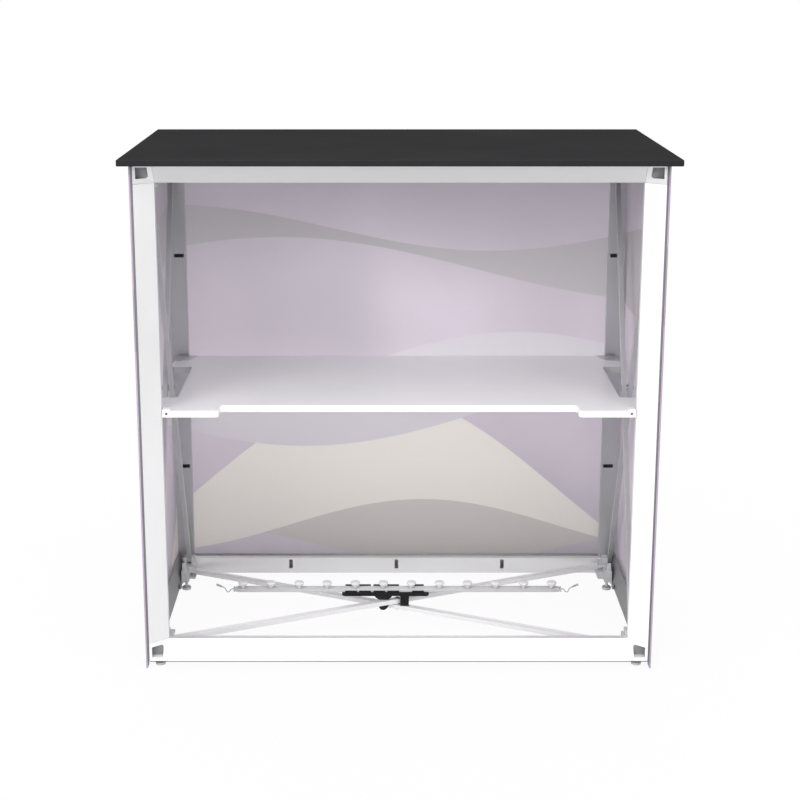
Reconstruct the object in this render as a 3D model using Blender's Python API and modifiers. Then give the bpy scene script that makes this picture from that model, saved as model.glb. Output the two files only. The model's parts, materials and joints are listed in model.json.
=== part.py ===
"""Backlit exhibition counter, seen from its open staff side.

Two rectangles of hollow channel bars, near and far, are joined by low side rails.
Inside stands a pop-up cage: a pair of crossed bars on the left, on the right, on
the floor and under the top, held by eight moulded hubs. The countertop lies on the
frame, a shelf hooks into the posts, a row of lights clips over the floor bars, and
a printed fabric graphic wraps the left, far and right sides.

X runs to the right, Y away from the staff side, Z up. The origin is on the floor
under the middle of the countertop. All sizes are in metres.
"""

import math

import bmesh
import bpy
from mathutils import Matrix, Vector

# Fits shared by every piece
CLEARANCE = 0.0003
OVERRUN = 0.004
WELD = 0.000001

# Countertop
COUNTER_HEIGHT = 1.000
TOP_LENGTH = 1.020
TOP_DEPTH = 0.520
TOP_THICKNESS = 0.012
TOP_EDGE = 0.0012
TOP_OVERHANG_X = 0.025
TOP_OVERHANG_Y = 0.0237
PEG_RADIUS = 0.0030
PEG_LENGTH = 0.014

# Channel frame
FRAME_LIFT = 0.0175
CHANNEL_WIDTH = 0.0355
CHANNEL_DEPTH = 0.0373
CHANNEL_LIP = 0.0120
CHANNEL_WALL = 0.0020
SPIGOT_LENGTH = 0.028
POCKET_INSET = 0.0048
POCKET_SIZE = 0.0212
POCKET_DEPTH = 0.017
SLOT_ACROSS = 0.021
SLOT_ALONG = 0.008
SLOT_FROM_EDGE = 0.0208
SLOT_PITCH = 0.235

# Side rails, wedge shaped
SIDE_BASE = 0.0134
SIDE_TIP = 0.0040
SIDE_HEIGHT = 0.0495
SIDE_WALL = 0.0015
TONGUE_LENGTH = 0.018
TONGUE_HEIGHT = 0.033

# Scissor bars and their hubs
SCISSOR_WIDTH = 0.012
SCISSOR_THICKNESS = 0.0095
SCISSOR_SPACER = 0.0035
OUTER_BAR_INSET = 0.0080
FLOOR_BAR_INSET = 0.00475
RIVET_RADIUS = 0.0026
RIVET_HEAD = 0.0050
RIVET_HEAD_HEIGHT = 0.0020
HUB_PIN_RADIUS = 0.0025
HUB_PIN_FROM_POST = 0.012
HUB_WIDTH = 0.0273
HUB_LENGTH = 0.036
HUB_BASE_HEIGHT = 0.0285
HUB_CAP_HEIGHT = 0.0325
HUB_TOTAL_HEIGHT = 0.0445
HUB_LIFT = 0.0005
HUB_LUG_LENGTH = 0.020
HUB_FLANGE_LENGTH = 0.062
HUB_FLANGE_THICKNESS = 0.0040
HUB_BOSS_WALL = 0.0042
FLOOR_PIN_INSET = 0.035
SIDE_PIN_RISE = 0.036

# Levelling feet
FOOT_RADIUS = 0.0097
FOOT_SOLE_RADIUS = 0.0085
FOOT_HEIGHT = 0.0055
FOOT_DOME = 0.0020
STEM_RADIUS = 0.0030
STEM_ENGAGED = 0.014
FOOT_TRAVEL_IN = 0.009
CORNER_FOOT_U = 0.0180
CORNER_FOOT_V = 0.0237
HUB_FOOT_INSET = 0.0230
HUB_FOOT_FROM_PIN = 0.0365

# Shelf
SHELF_THICKNESS = 0.013
SHELF_FAR_GAP = 0.0055
SHELF_NEAR_GAP = 0.0090
SHELF_END_GAP = 0.0114
SHELF_NEAR_EAR = 0.0630
SHELF_FAR_EAR = 0.0915
SHELF_NOTCH = 0.0436
SHELF_LIP_SETBACK = 0.0188
SHELF_LIP_GAP = 0.0020
SHELF_LIP_LENGTH = 0.1065
SHELF_RECESS = 0.0365
SHELF_RADIUS = 0.0060
END_BLOCK_LENGTH = 0.0150
END_BLOCK_DEPTH = 0.0150
END_BLOCK_RISE = 0.0025
END_BLOCK_JOIN = 0.0035
HOOK_PLAY = 0.0015
HOOK_HEIGHT = 0.0068
HOOK_THICKNESS = 0.0030
HOOK_STEP = 0.0060
HOOK_DROP = 0.0035
HOOK_LIP = 0.0025
BRACKET_PLATE = 0.0030
BRACKET_LENGTH = 0.055
STUD_RADIUS = 0.0018
STUD_FROM_POST = 0.044

# Row of lights on the floor bars
LIGHT_LENGTH = 0.686
LIGHT_DEPTH = 0.012
LIGHT_HEIGHT = 0.009
LIGHT_EDGE = 0.0008
LENS_COUNT = 12
LENS_FROM_END = 0.02015
LENS_BASE_RADIUS = 0.0036
LENS_RADIUS = 0.0098
LENS_CONE = 0.0100
LENS_CAP = 0.0030
LEAD_RADIUS = 0.0010
PLUG_RADIUS = 0.0021
PLUG_LENGTH = 0.0150

# Clip that carries the row of lights
CLIP_CENTRE = -0.0250
CLIP_LENGTH = 0.181
CLIP_HALF_DEPTH = 0.0110
CLIP_BASE = 0.0045
CLIP_RISE = 0.01095
CLIP_WALL = 0.0030
CLIP_NEAR_RISE = 0.0040
CLIP_FAR_RISE = 0.0115
SADDLE_LENGTH = 0.0245
SADDLE_SHARES = (-0.396, -0.236, -0.071, 0.090, 0.376)
WEDGE_LEG_GAP = 0.0020
WEDGE_LEG_LENGTH = 0.0200
WEDGE_LEG_DROP = 0.0360
REST_LEG_START = 0.0060
REST_LEG_LENGTH = 0.0180
REST_LEG_GAP = 0.0004
REST_LEG_DEPTH = 0.0075

# Printed graphic, with the tape behind it
GRAPHIC_THICKNESS = 0.0065
GRAPHIC_FLOOR_GAP = 0.0015
GRAPHIC_TOP_GAP = 0.0008

# Facets of round shapes
ROUND_STEPS = 16
SMALL_STEPS = 10
ARC_STEPS = 6
FILLET_STEPS = 4

# Places that follow from the sizes above
FRAME_TOP = COUNTER_HEIGHT - TOP_THICKNESS - CLEARANCE
MID_Z = (FRAME_LIFT + FRAME_TOP) / 2
HALF_X = TOP_LENGTH / 2 - TOP_OVERHANG_X
HALF_Y = TOP_DEPTH / 2 - TOP_OVERHANG_Y
INNER_Y = HALF_Y - CHANNEL_DEPTH
PIN_Y = INNER_Y - HUB_PIN_FROM_POST
HUB_FOOT_Y = PIN_Y - HUB_FOOT_FROM_PIN
OUTER_BAR_U = OUTER_BAR_INSET + SCISSOR_THICKNESS / 2
INNER_BAR_U = OUTER_BAR_U + SCISSOR_THICKNESS + SCISSOR_SPACER
LOW_BAR_W = FLOOR_BAR_INSET + SCISSOR_THICKNESS / 2
HIGH_BAR_W = LOW_BAR_W + SCISSOR_THICKNESS + SCISSOR_SPACER
HUB_U = SIDE_BASE + CLEARANCE
FLOOR_PIN_X = HALF_X - FLOOR_PIN_INSET
SLOT_BOTTOM = MID_Z - SLOT_ALONG / 2
HOOK_SEAT = SLOT_BOTTOM + CLEARANCE
SHELF_BOTTOM = HOOK_SEAT + HOOK_HEIGHT + CLEARANCE
SHELF_TOP = SHELF_BOTTOM + SHELF_THICKNESS
SHELF_FAR_Y = INNER_Y - SHELF_FAR_GAP
SHELF_NEAR_Y = -(INNER_Y - SHELF_NEAR_GAP)
SHELF_END_X = HALF_X - SHELF_END_GAP
SHELF_LIP_Y = -(HALF_Y - SHELF_LIP_SETBACK)
SHELF_LIP_X = HALF_X - CHANNEL_WIDTH - SHELF_LIP_GAP
HOOK_WIDTH = SLOT_ACROSS - 2 * HOOK_PLAY
LOW_BAR_TOP = FRAME_LIFT + LOW_BAR_W + SCISSOR_THICKNESS / 2
HIGH_BAR_TOP = FRAME_LIFT + HIGH_BAR_W + SCISSOR_THICKNESS / 2
CLIP_BOTTOM = HIGH_BAR_TOP + CLIP_RISE
LIGHT_BOTTOM = CLIP_BOTTOM + CLIP_BASE + CLEARANCE
LIGHT_TOP = LIGHT_BOTTOM + LIGHT_HEIGHT
LENS_PITCH = (LIGHT_LENGTH - 2 * LENS_FROM_END) / (LENS_COUNT - 1)
FLOOR_BAR_SLOPE = PIN_Y / FLOOR_PIN_X
FLOOR_BAR_HALF = (SCISSOR_WIDTH / 2 + CLEARANCE) * math.hypot(1, FLOOR_BAR_SLOPE)

SIDES = (("left", -1), ("right", 1))
ROWS = (("near", -1), ("far", 1))
LEVELS = (("bottom", -1), ("top", 1))

# The lead leaves the end of the light bar, dips and rises again. Each point is
# measured outwards, away from the staff side and up, from the bar's end face.
LEAD_ROUTE = (
    (0.0000, 0.0000, 0.0000),
    (0.0030, 0.0000, -0.0001),
    (0.0058, 0.0000, -0.0016),
    (0.0082, 0.0001, -0.0048),
    (0.0112, 0.0003, -0.0068),
    (0.0143, 0.0008, -0.0052),
    (0.0165, 0.0015, -0.0012),
    (0.0196, 0.0025, 0.0020),
    (0.0243, 0.0040, 0.0034),
)

# Colour, roughness and metallic value of each finish
FINISHES = {
    "black_laminate": ((0.035, 0.035, 0.036), 0.45, 0.0),
    "white_coat": ((0.78, 0.78, 0.79), 0.40, 0.0),
    "grey_plastic": ((0.36, 0.36, 0.37), 0.50, 0.0),
    "silver_tube": ((0.52, 0.52, 0.53), 0.35, 0.8),
    "steel": ((0.45, 0.45, 0.46), 0.30, 1.0),
    "rubber": ((0.12, 0.12, 0.12), 0.80, 0.0),
    "silver_laminate": ((0.66, 0.66, 0.67), 0.22, 0.0),
    "black_plastic": ((0.015, 0.015, 0.016), 0.50, 0.0),
    "mauve_fabric": ((0.55, 0.47, 0.56), 0.85, 0.0),
}

# Turns that carry an outline's plane onto the two axes beside the one named
TURNS = {
    "X": Matrix(((0, 0, 1), (1, 0, 0), (0, 1, 0))).to_4x4(),
    "Y": Matrix(((0, 1, 0), (0, 0, 1), (1, 0, 0))).to_4x4(),
    "Z": Matrix.Identity(4),
}


def clear_scene():
    """Remove what the file opened with; make the collections and a centre mark."""
    for old in list(bpy.data.objects):
        bpy.data.objects.remove(old, do_unlink=True)
    for name in ("exhibition_counter", "cutters"):
        group = bpy.data.collections.new(name)
        bpy.context.scene.collection.children.link(group)
    centre = bpy.data.objects.new("counter_centre", None)
    bpy.data.collections["exhibition_counter"].objects.link(centre)


def place(name, mesh, matrix):
    """Make an object in the counter's collection from a mesh."""
    solid = bpy.data.objects.new(name, mesh)
    bpy.data.collections["exhibition_counter"].objects.link(solid)
    solid.matrix_world = matrix
    return solid


def paint(solid, finish):
    """Give a sub-part a material of its own."""
    colour, roughness, metallic = FINISHES[finish]
    material = bpy.data.materials.new(solid.name + "_" + finish)
    material.use_nodes = True
    shader = material.node_tree.nodes["Principled BSDF"]
    shader.inputs["Base Color"].default_value = (*colour, 1.0)
    shader.inputs["Roughness"].default_value = roughness
    shader.inputs["Metallic"].default_value = metallic
    solid.data.materials.clear()
    solid.data.materials.append(material)
    return solid


def cuboid(name, corner, opposite):
    """Make a box between two opposite corners, with its origin in its middle."""
    middle = (Vector(corner) + Vector(opposite)) / 2
    size = [abs(a - b) for a, b in zip(corner, opposite)]
    mesh = bpy.data.meshes.new(name)
    cage = bmesh.new()
    bmesh.ops.create_cube(cage, size=1.0, matrix=Matrix.Diagonal((*size, 1.0)))
    cage.to_mesh(mesh)
    cage.free()
    return place(name, mesh, Matrix.Translation(middle))


def rod(name, axis, centre, radius, start, end, steps=SMALL_STEPS):
    """Make a cylinder along an axis; centre holds its two other coordinates."""
    mesh = bpy.data.meshes.new(name)
    cage = bmesh.new()
    bmesh.ops.create_cone(
        cage, cap_ends=True, segments=steps,
        radius1=radius, radius2=radius, depth=abs(end - start))
    cage.to_mesh(mesh)
    cage.free()
    mesh.shade_smooth()
    mesh.set_sharp_from_angle(angle=math.radians(40))
    local = Vector((*centre, (start + end) / 2))
    matrix = TURNS[axis] @ Matrix.Translation(local)
    return place(name, mesh, matrix)


def solidified(curve_object):
    """Turn a curve object into a welded mesh object of the same name and place."""
    name = curve_object.name
    bpy.context.view_layer.update()
    evaluated = curve_object.evaluated_get(bpy.context.evaluated_depsgraph_get())
    mesh = bpy.data.meshes.new_from_object(evaluated)
    matrix = curve_object.matrix_world.copy()
    bpy.data.objects.remove(curve_object, do_unlink=True)
    cage = bmesh.new()
    cage.from_mesh(mesh)
    bmesh.ops.remove_doubles(cage, verts=cage.verts, dist=WELD)
    bmesh.ops.recalc_face_normals(cage, faces=cage.faces)
    cage.to_mesh(mesh)
    cage.free()
    return place(name, mesh, matrix)


def prism(name, axis, loops, start, end):
    """Extrude an outline, with any holes, along an axis from start to end.

    The loops hold places on the two axes that follow the named one, in the order
    X, Y, Z, X, Y: so (Y, Z) for X, (Z, X) for Y and (X, Y) for Z.
    """
    middle = [(min(values) + max(values)) / 2 for values in zip(*loops[0])]
    curve = bpy.data.curves.new(name, "CURVE")
    curve.dimensions = "2D"
    curve.fill_mode = "BOTH"
    curve.extrude = abs(end - start) / 2
    for loop in loops:
        spline = curve.splines.new("POLY")
        spline.points.add(len(loop) - 1)
        for point, (a, b) in zip(spline.points, loop):
            point.co = (a - middle[0], b - middle[1], 0.0, 1.0)
        spline.use_cyclic_u = True
    outline = bpy.data.objects.new(name, curve)
    bpy.data.collections["exhibition_counter"].objects.link(outline)
    local = Vector((middle[0], middle[1], (start + end) / 2))
    outline.matrix_world = TURNS[axis] @ Matrix.Translation(local)
    return solidified(outline)


def turned(name, profile, matrix, steps=ROUND_STEPS):
    """Turn a profile of (radius, height) points, top to bottom, about local Z."""
    mesh = bpy.data.meshes.new(name)
    cage = bmesh.new()
    corners = [cage.verts.new((radius, 0.0, height)) for radius, height in profile]
    for upper, lower in zip(corners, corners[1:]):
        cage.edges.new((upper, lower))
    cage.to_mesh(mesh)
    cage.free()
    solid = place(name, mesh, matrix)
    screw = solid.modifiers.new("turn", "SCREW")
    screw.axis = "Z"
    screw.steps = steps
    screw.render_steps = steps
    screw.use_merge_vertices = True
    screw.merge_threshold = WELD
    screw.use_smooth_shade = True
    return solid


def combine(target, operation, tool):
    """Cut, join or trim a piece with a tool, which then leaves the counter."""
    change = target.modifiers.new(operation.lower(), "BOOLEAN")
    change.operation = operation
    change.object = tool
    bpy.data.collections["exhibition_counter"].objects.unlink(tool)
    bpy.data.collections["cutters"].objects.link(tool)
    tool.hide_render = True
    tool.display_type = "WIRE"
    return target


def round_edges(solid, width, segments=1):
    """Add a small rounding to a piece's sharp edges."""
    bevel = solid.modifiers.new("edges", "BEVEL")
    bevel.width = width
    bevel.segments = segments
    bevel.limit_method = "ANGLE"
    bevel.angle_limit = math.radians(50)
    return solid


def inset(points, wall):
    """Move every edge of a convex outline inwards by a wall's thickness."""
    count = len(points)
    area = sum(points[i - 1][0] * points[i][1] - points[i][0] * points[i - 1][1]
               for i in range(count))
    turn = math.copysign(1.0, area)
    lines = []
    for i in range(count):
        start = Vector(points[i])
        along = (Vector(points[(i + 1) % count]) - start).normalized()
        inward = Vector((-along.y, along.x)) * turn
        lines.append((start + inward * wall, along))
    moved = []
    for i in range(count):
        (first, a), (second, b) = lines[i - 1], lines[i]
        reach = (second - first).cross(b) / a.cross(b)
        moved.append(tuple(first + a * reach))
    return moved


def arc(centre, radius, first, last, steps):
    """Give the points of an arc, with its angles in degrees."""
    points = []
    for step in range(steps + 1):
        angle = math.radians(first + (last - first) * step / steps)
        points.append((centre[0] + radius * math.cos(angle),
                       centre[1] + radius * math.sin(angle)))
    return points


def rounded(points, radii):
    """Round the corners of an outline, each with its own radius."""
    result = []
    count = len(points)
    for i in range(count):
        corner = Vector(points[i])
        if radii[i] == 0:
            result.append(tuple(corner))
            continue
        before = (Vector(points[i - 1]) - corner).normalized()
        after = (Vector(points[(i + 1) % count]) - corner).normalized()
        half = before.angle(after) / 2
        reach = radii[i] / math.tan(half)
        start = corner + before * reach
        end = corner + after * reach
        middle = corner + (before + after).normalized() * (radii[i] / math.sin(half))
        for step in range(FILLET_STEPS + 1):
            share = step / FILLET_STEPS
            spoke = start.lerp(end, share) - middle
            result.append(tuple(middle + spoke.normalized() * radii[i]))
    return result


def from_edge(sx, sy, sz, u, v, w):
    """Give the place that lies u, v and w inwards from a corner of the frame."""
    z = FRAME_LIFT + w if sz < 0 else FRAME_TOP - w
    return (sx * (HALF_X - u), sy * (HALF_Y - v), z)


def channel_section():
    """Outline of a channel bar: distance from its outer edge, and its depth."""
    slope = CHANNEL_DEPTH - CHANNEL_LIP
    return [(0, 0), (CHANNEL_WIDTH, slope), (CHANNEL_WIDTH, CHANNEL_DEPTH), (0, CHANNEL_DEPTH)]


def side_section(height):
    """Outline of a side rail up to a height: thickness inwards, and height."""
    thin = SIDE_BASE - (SIDE_BASE - SIDE_TIP) * height / SIDE_HEIGHT
    return [(0, 0), (SIDE_BASE, 0), (thin, height), (0, height)]


def countertop():
    """Make the flat top, with four pegs that drop into the corner blocks."""
    half_x, half_y = TOP_LENGTH / 2, TOP_DEPTH / 2
    bottom = COUNTER_HEIGHT - TOP_THICKNESS
    top = cuboid("countertop", (-half_x, -half_y, bottom), (half_x, half_y, COUNTER_HEIGHT))
    round_edges(top, TOP_EDGE)
    for _, sx in SIDES:
        for _, sy in ROWS:
            x, y, _ = from_edge(sx, sy, 1, CORNER_FOOT_U, CORNER_FOOT_V, 0)
            peg = rod("peg", "Z", (x, y), PEG_RADIUS,
                      FRAME_TOP - PEG_LENGTH, bottom + TOP_THICKNESS / 2)
            combine(top, "UNION", peg)
    paint(top, "black_laminate")


def channel_posts():
    """Make the four upright channel bars, with slots that face the inside."""
    start = FRAME_LIFT + CHANNEL_WIDTH + CLEARANCE
    end = FRAME_TOP - CHANNEL_WIDTH - CLEARANCE
    for side, sx in SIDES:
        for row, sy in ROWS:
            loops = [[(sx * (HALF_X - u), sy * (HALF_Y - v)) for u, v in loop]
                     for loop in (channel_section(), inset(channel_section(), CHANNEL_WALL))]
            post = prism(row + "_" + side + "_post", "Z", loops, start, end)
            for step in (-1, 0, 1):
                z = MID_Z + step * SLOT_PITCH
                u = SLOT_FROM_EDGE
                cutter = cuboid(
                    "slot",
                    (sx * (HALF_X - u - SLOT_ACROSS / 2),
                     sy * (INNER_Y + CHANNEL_WALL + CLEARANCE), z - SLOT_ALONG / 2),
                    (sx * (HALF_X - u + SLOT_ACROSS / 2),
                     sy * (INNER_Y - OVERRUN), z + SLOT_ALONG / 2))
                combine(post, "DIFFERENCE", cutter)
            paint(post, "white_coat")


def channel_rails():
    """Make the four level channel bars, with the same slots."""
    end = HALF_X - CHANNEL_WIDTH - CLEARANCE
    for level, sz in LEVELS:
        for row, sy in ROWS:
            loops = []
            for loop in (channel_section(), inset(channel_section(), CHANNEL_WALL)):
                places = [from_edge(1, sy, sz, 0, v, w) for w, v in loop]
                loops.append([(y, z) for _, y, z in places])
            rail = prism(row + "_" + level + "_rail", "X", loops, -end, end)
            for step in (-1, 0, 1):
                x = step * SLOT_PITCH
                _, far, high = from_edge(1, sy, sz, 0, CHANNEL_DEPTH - CHANNEL_WALL - CLEARANCE,
                                         SLOT_FROM_EDGE - SLOT_ACROSS / 2)
                _, near, low = from_edge(1, sy, sz, 0, CHANNEL_DEPTH + OVERRUN,
                                         SLOT_FROM_EDGE + SLOT_ACROSS / 2)
                cutter = cuboid("slot", (x - SLOT_ALONG / 2, far, high),
                                (x + SLOT_ALONG / 2, near, low))
                combine(rail, "DIFFERENCE", cutter)
            paint(rail, "white_coat")


def side_rails():
    """Make the four hollow wedge rails between the near and far frames."""
    end = INNER_Y - CLEARANCE
    for level, sz in LEVELS:
        for side, sx in SIDES:
            loops = []
            section = side_section(SIDE_HEIGHT)
            for loop in (section, inset(section, SIDE_WALL)):
                places = [from_edge(sx, 1, sz, u, 0, w) for u, w in loop]
                loops.append([(z, x) for x, _, z in places])
            rail = prism(side + "_" + level + "_side_rail", "Y", loops, -end, end)
            paint(rail, "white_coat")


def mitred_cube(name, sx, sy, sz):
    """Make a corner cube whose outer face falls back to its inmost corner."""
    cube = cuboid(name, from_edge(sx, sy, sz, 0, 0, 0),
                  from_edge(sx, sy, sz, CHANNEL_WIDTH, CHANNEL_DEPTH, CHANNEL_WIDTH))
    middle = cube.matrix_world.translation
    fallen = Vector(from_edge(sx, sy, sz, CHANNEL_WIDTH, 0, CHANNEL_WIDTH)) - middle
    proud = Vector(from_edge(sx, sy, sz, 0, 0, 0)) - middle
    cage = bmesh.new()
    cage.from_mesh(cube.data)
    inmost = min(cage.verts, key=lambda vert: (vert.co - fallen).length)
    outmost = min(cage.verts, key=lambda vert: (vert.co - proud).length)
    bmesh.ops.connect_verts(cage, verts=[inmost, outmost])
    inmost.co.y -= sy * (CHANNEL_DEPTH - CHANNEL_LIP)
    cage.to_mesh(cube.data)
    cage.free()
    return cube


def corner_blocks():
    """Make the eight corner blocks with a pocket, two spigots and a tongue."""
    spigot_inset = CHANNEL_WALL + CLEARANCE
    reach = CHANNEL_WIDTH + SPIGOT_LENGTH
    root = CHANNEL_WIDTH - OVERRUN
    for level, sz in LEVELS:
        for row, sy in ROWS:
            for side, sx in SIDES:
                name = "_".join((row, side, level, "corner"))
                block = mitred_cube(name, sx, sy, sz)
                section = inset(channel_section(), spigot_inset)
                upright = [(sx * (HALF_X - u), sy * (HALF_Y - v)) for u, v in section]
                heights = [from_edge(sx, sy, sz, 0, 0, w)[2] for w in (root, reach)]
                combine(block, "UNION", prism("spigot", "Z", [upright], *heights))
                level_loop = [from_edge(sx, sy, sz, 0, v, w)[1:] for w, v in section]
                spans = [sx * (HALF_X - u) for u in (root, reach)]
                combine(block, "UNION", prism("spigot", "X", [level_loop], *spans))
                tongue = [from_edge(sx, sy, sz, u, 0, w)
                          for u, w in inset(side_section(TONGUE_HEIGHT), SIDE_WALL + CLEARANCE)]
                ends = [sy * (INNER_Y + OVERRUN), sy * (INNER_Y - TONGUE_LENGTH)]
                combine(block, "UNION",
                        prism("tongue", "Y", [[(z, x) for x, _, z in tongue]], *ends))
                pocket = cuboid(
                    "pocket",
                    from_edge(sx, sy, sz, POCKET_INSET, -OVERRUN, POCKET_INSET),
                    from_edge(sx, sy, sz, POCKET_INSET + POCKET_SIZE, POCKET_DEPTH,
                              POCKET_INSET + POCKET_SIZE))
                combine(block, "DIFFERENCE", pocket)
                stem_hole(block, sx, sy, sz, CORNER_FOOT_U, CORNER_FOOT_V, 0)
                paint(block, "white_coat")


def stem_hole(block, sx, sy, sz, u, v, face):
    """Bore the hole that takes a foot's stem, or a peg of the countertop."""
    x, y, opening = from_edge(sx, sy, sz, u, v, face - OVERRUN)
    depth = STEM_ENGAGED + FOOT_TRAVEL_IN + CLEARANCE
    bottom = from_edge(sx, sy, sz, u, v, depth)[2]
    hole = rod("stem_hole", "Z", (x, y), STEM_RADIUS + CLEARANCE, opening, bottom)
    combine(block, "DIFFERENCE", hole)


def bar_outline(start, end):
    """Outline of a scissor bar with round ends and its three pin holes."""
    start, end = Vector(start), Vector(end)
    along = math.degrees(math.atan2(end.y - start.y, end.x - start.x))
    radius = SCISSOR_WIDTH / 2
    edge = arc(start, radius, along + 90, along + 270, ARC_STEPS)
    edge += arc(end, radius, along - 90, along + 90, ARC_STEPS)
    holes = []
    for centre, size in ((start, HUB_PIN_RADIUS), ((start + end) / 2, RIVET_RADIUS),
                         (end, HUB_PIN_RADIUS)):
        ring = arc(centre, size + CLEARANCE, 0, 360, SMALL_STEPS)
        holes.append(ring[:-1])
    return [edge] + holes


def rises_inside(sx, sy, sz):
    """Tell whether the inner side bar ends at this hub, as on every other one."""
    return sx * sy * sz > 0


def scissor_bars():
    """Make the crossed bars on the left, on the right, on the floor and on top."""
    pin_low = FRAME_LIFT + SIDE_PIN_RISE
    pin_high = FRAME_TOP - SIDE_PIN_RISE
    for side, sx in SIDES:
        for kind, u in (("inner", INNER_BAR_U), ("outer", OUTER_BAR_U)):
            lower = 1 if rises_inside(sx, 1, -1) == (kind == "inner") else -1
            loops = bar_outline((lower * PIN_Y, pin_low), (-lower * PIN_Y, pin_high))
            centre = sx * (HALF_X - u)
            faces = (centre - SCISSOR_THICKNESS / 2, centre + SCISSOR_THICKNESS / 2)
            bar = prism(side + "_" + kind + "_scissor_bar", "X", loops, *faces)
            paint(bar, "silver_tube")
    for level, sz in LEVELS:
        for kind, w in (("outer", LOW_BAR_W), ("inner", HIGH_BAR_W)):
            left = 1 if rises_inside(-1, 1, sz) == (kind == "outer") else -1
            loops = bar_outline((-FLOOR_PIN_X, left * PIN_Y), (FLOOR_PIN_X, -left * PIN_Y))
            centre = from_edge(1, 1, sz, 0, 0, w)[2]
            faces = (centre - SCISSOR_THICKNESS / 2, centre + SCISSOR_THICKNESS / 2)
            bar = prism(level + "_" + kind + "_scissor_bar", "Z", loops, *faces)
            paint(bar, "silver_tube")


def rivet_profile():
    """Profile of the shouldered rivet at a crossing, about its own middle."""
    bar = SCISSOR_THICKNESS + SCISSOR_SPACER / 2
    head = bar + CLEARANCE + RIVET_HEAD_HEIGHT
    shoulder = SCISSOR_SPACER / 2 - CLEARANCE
    upper = [(0, head), (RIVET_HEAD, head), (RIVET_HEAD, bar + CLEARANCE),
             (RIVET_RADIUS, bar + CLEARANCE), (RIVET_RADIUS, shoulder), (RIVET_HEAD, shoulder)]
    return upper + [(radius, -height) for radius, height in reversed(upper)]


def rivets():
    """Make the shouldered rivet at each of the four crossings."""
    middle_u = (INNER_BAR_U + OUTER_BAR_U) / 2
    for side, sx in SIDES:
        matrix = Matrix.Translation((sx * (HALF_X - middle_u), 0, MID_Z)) @ TURNS["X"]
        paint(turned(side + "_rivet", rivet_profile(), matrix), "steel")
    for level, sz in LEVELS:
        height = from_edge(1, 1, sz, 0, 0, (LOW_BAR_W + HIGH_BAR_W) / 2)[2]
        matrix = Matrix.Translation((0, 0, height))
        paint(turned(level + "_rivet", rivet_profile(), matrix), "steel")


def hubs():
    """Make the eight moulded hubs, each with a slot and a lug or a pair of ears."""
    for level, sz in LEVELS:
        for row, sy in ROWS:
            for side, sx in SIDES:
                make_hub(sx, sy, sz, "_".join((row, side, level, "hub")))


def make_hub(sx, sy, sz, name):
    """Make one hub at its corner of the cage."""
    inner_kind = rises_inside(sx, sy, sz)
    near_v = CHANNEL_DEPTH + CLEARANCE
    far_v = near_v + HUB_LENGTH
    last_u = HUB_U + HUB_WIDTH
    foot_v = HALF_Y - HUB_FOOT_Y
    slot_end = FLOOR_PIN_INSET - SCISSOR_WIDTH / 2 - CLEARANCE

    def block(tag, u0, u1, v0, v1, w0, w1):
        return cuboid(tag, from_edge(sx, sy, sz, u0, v0, w0), from_edge(sx, sy, sz, u1, v1, w1))

    hub = block(name, HUB_U, last_u, near_v, far_v, HUB_LIFT, HUB_BASE_HEIGHT)
    flange = block("flange", HUB_U, HUB_U + HUB_FLANGE_THICKNESS, far_v - OVERRUN,
                   near_v + HUB_FLANGE_LENGTH, HUB_LIFT, HUB_BASE_HEIGHT)
    combine(hub, "UNION", flange)
    boss = block("boss", HUB_U, slot_end, far_v - OVERRUN,
                 foot_v + STEM_RADIUS + HUB_BOSS_WALL, HUB_LIFT, HUB_BASE_HEIGHT)
    combine(hub, "UNION", boss)
    lug_v = HALF_Y - PIN_Y - HUB_LUG_LENGTH / 2
    lug_end = lug_v + HUB_LUG_LENGTH
    outer_ear = INNER_BAR_U - SCISSOR_THICKNESS / 2 - CLEARANCE
    inner_ear = INNER_BAR_U + SCISSOR_THICKNESS / 2
    if inner_kind:
        spans = ((HUB_U, outer_ear),
                 (inner_ear + CLEARANCE, inner_ear + HUB_FLANGE_THICKNESS * 2))
        peg_span = (outer_ear - OVERRUN / 2, inner_ear + OVERRUN / 2)
    else:
        spans = ((OUTER_BAR_U + SCISSOR_THICKNESS / 2 + CLEARANCE, inner_ear),)
        peg_span = (OUTER_BAR_INSET, spans[0][0] + OVERRUN / 2)
        cap = block("cap", spans[0][0], last_u, near_v, far_v, HUB_LIFT * 2, HUB_CAP_HEIGHT)
        combine(hub, "UNION", cap)
    for start, end in spans:
        lug = block("lug", start, end, lug_v, lug_end, HUB_LIFT * 3, HUB_TOTAL_HEIGHT)
        combine(hub, "UNION", lug)
    bar_w = LOW_BAR_W if inner_kind else HIGH_BAR_W
    slack = SCISSOR_THICKNESS / 2 + CLEARANCE
    slot = block("bar_slot", slot_end, last_u + OVERRUN, near_v - OVERRUN, far_v + OVERRUN,
                 bar_w - slack, bar_w + slack)
    combine(hub, "DIFFERENCE", slot)
    stem_hole(hub, sx, sy, sz, HUB_FOOT_INSET, foot_v, HUB_LIFT)
    low = from_edge(sx, sy, sz, 0, 0, bar_w - slack - OVERRUN / 2)[2]
    high = from_edge(sx, sy, sz, 0, 0, bar_w + slack + OVERRUN / 2)[2]
    combine(hub, "UNION",
            rod("floor_peg", "Z", (sx * FLOOR_PIN_X, sy * PIN_Y), HUB_PIN_RADIUS, low, high))
    z = from_edge(sx, sy, sz, 0, 0, SIDE_PIN_RISE)[2]
    ends = [sx * (HALF_X - u) for u in peg_span]
    combine(hub, "UNION", rod("side_peg", "X", (sy * PIN_Y, z), HUB_PIN_RADIUS, *ends))
    paint(hub, "grey_plastic")


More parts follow.
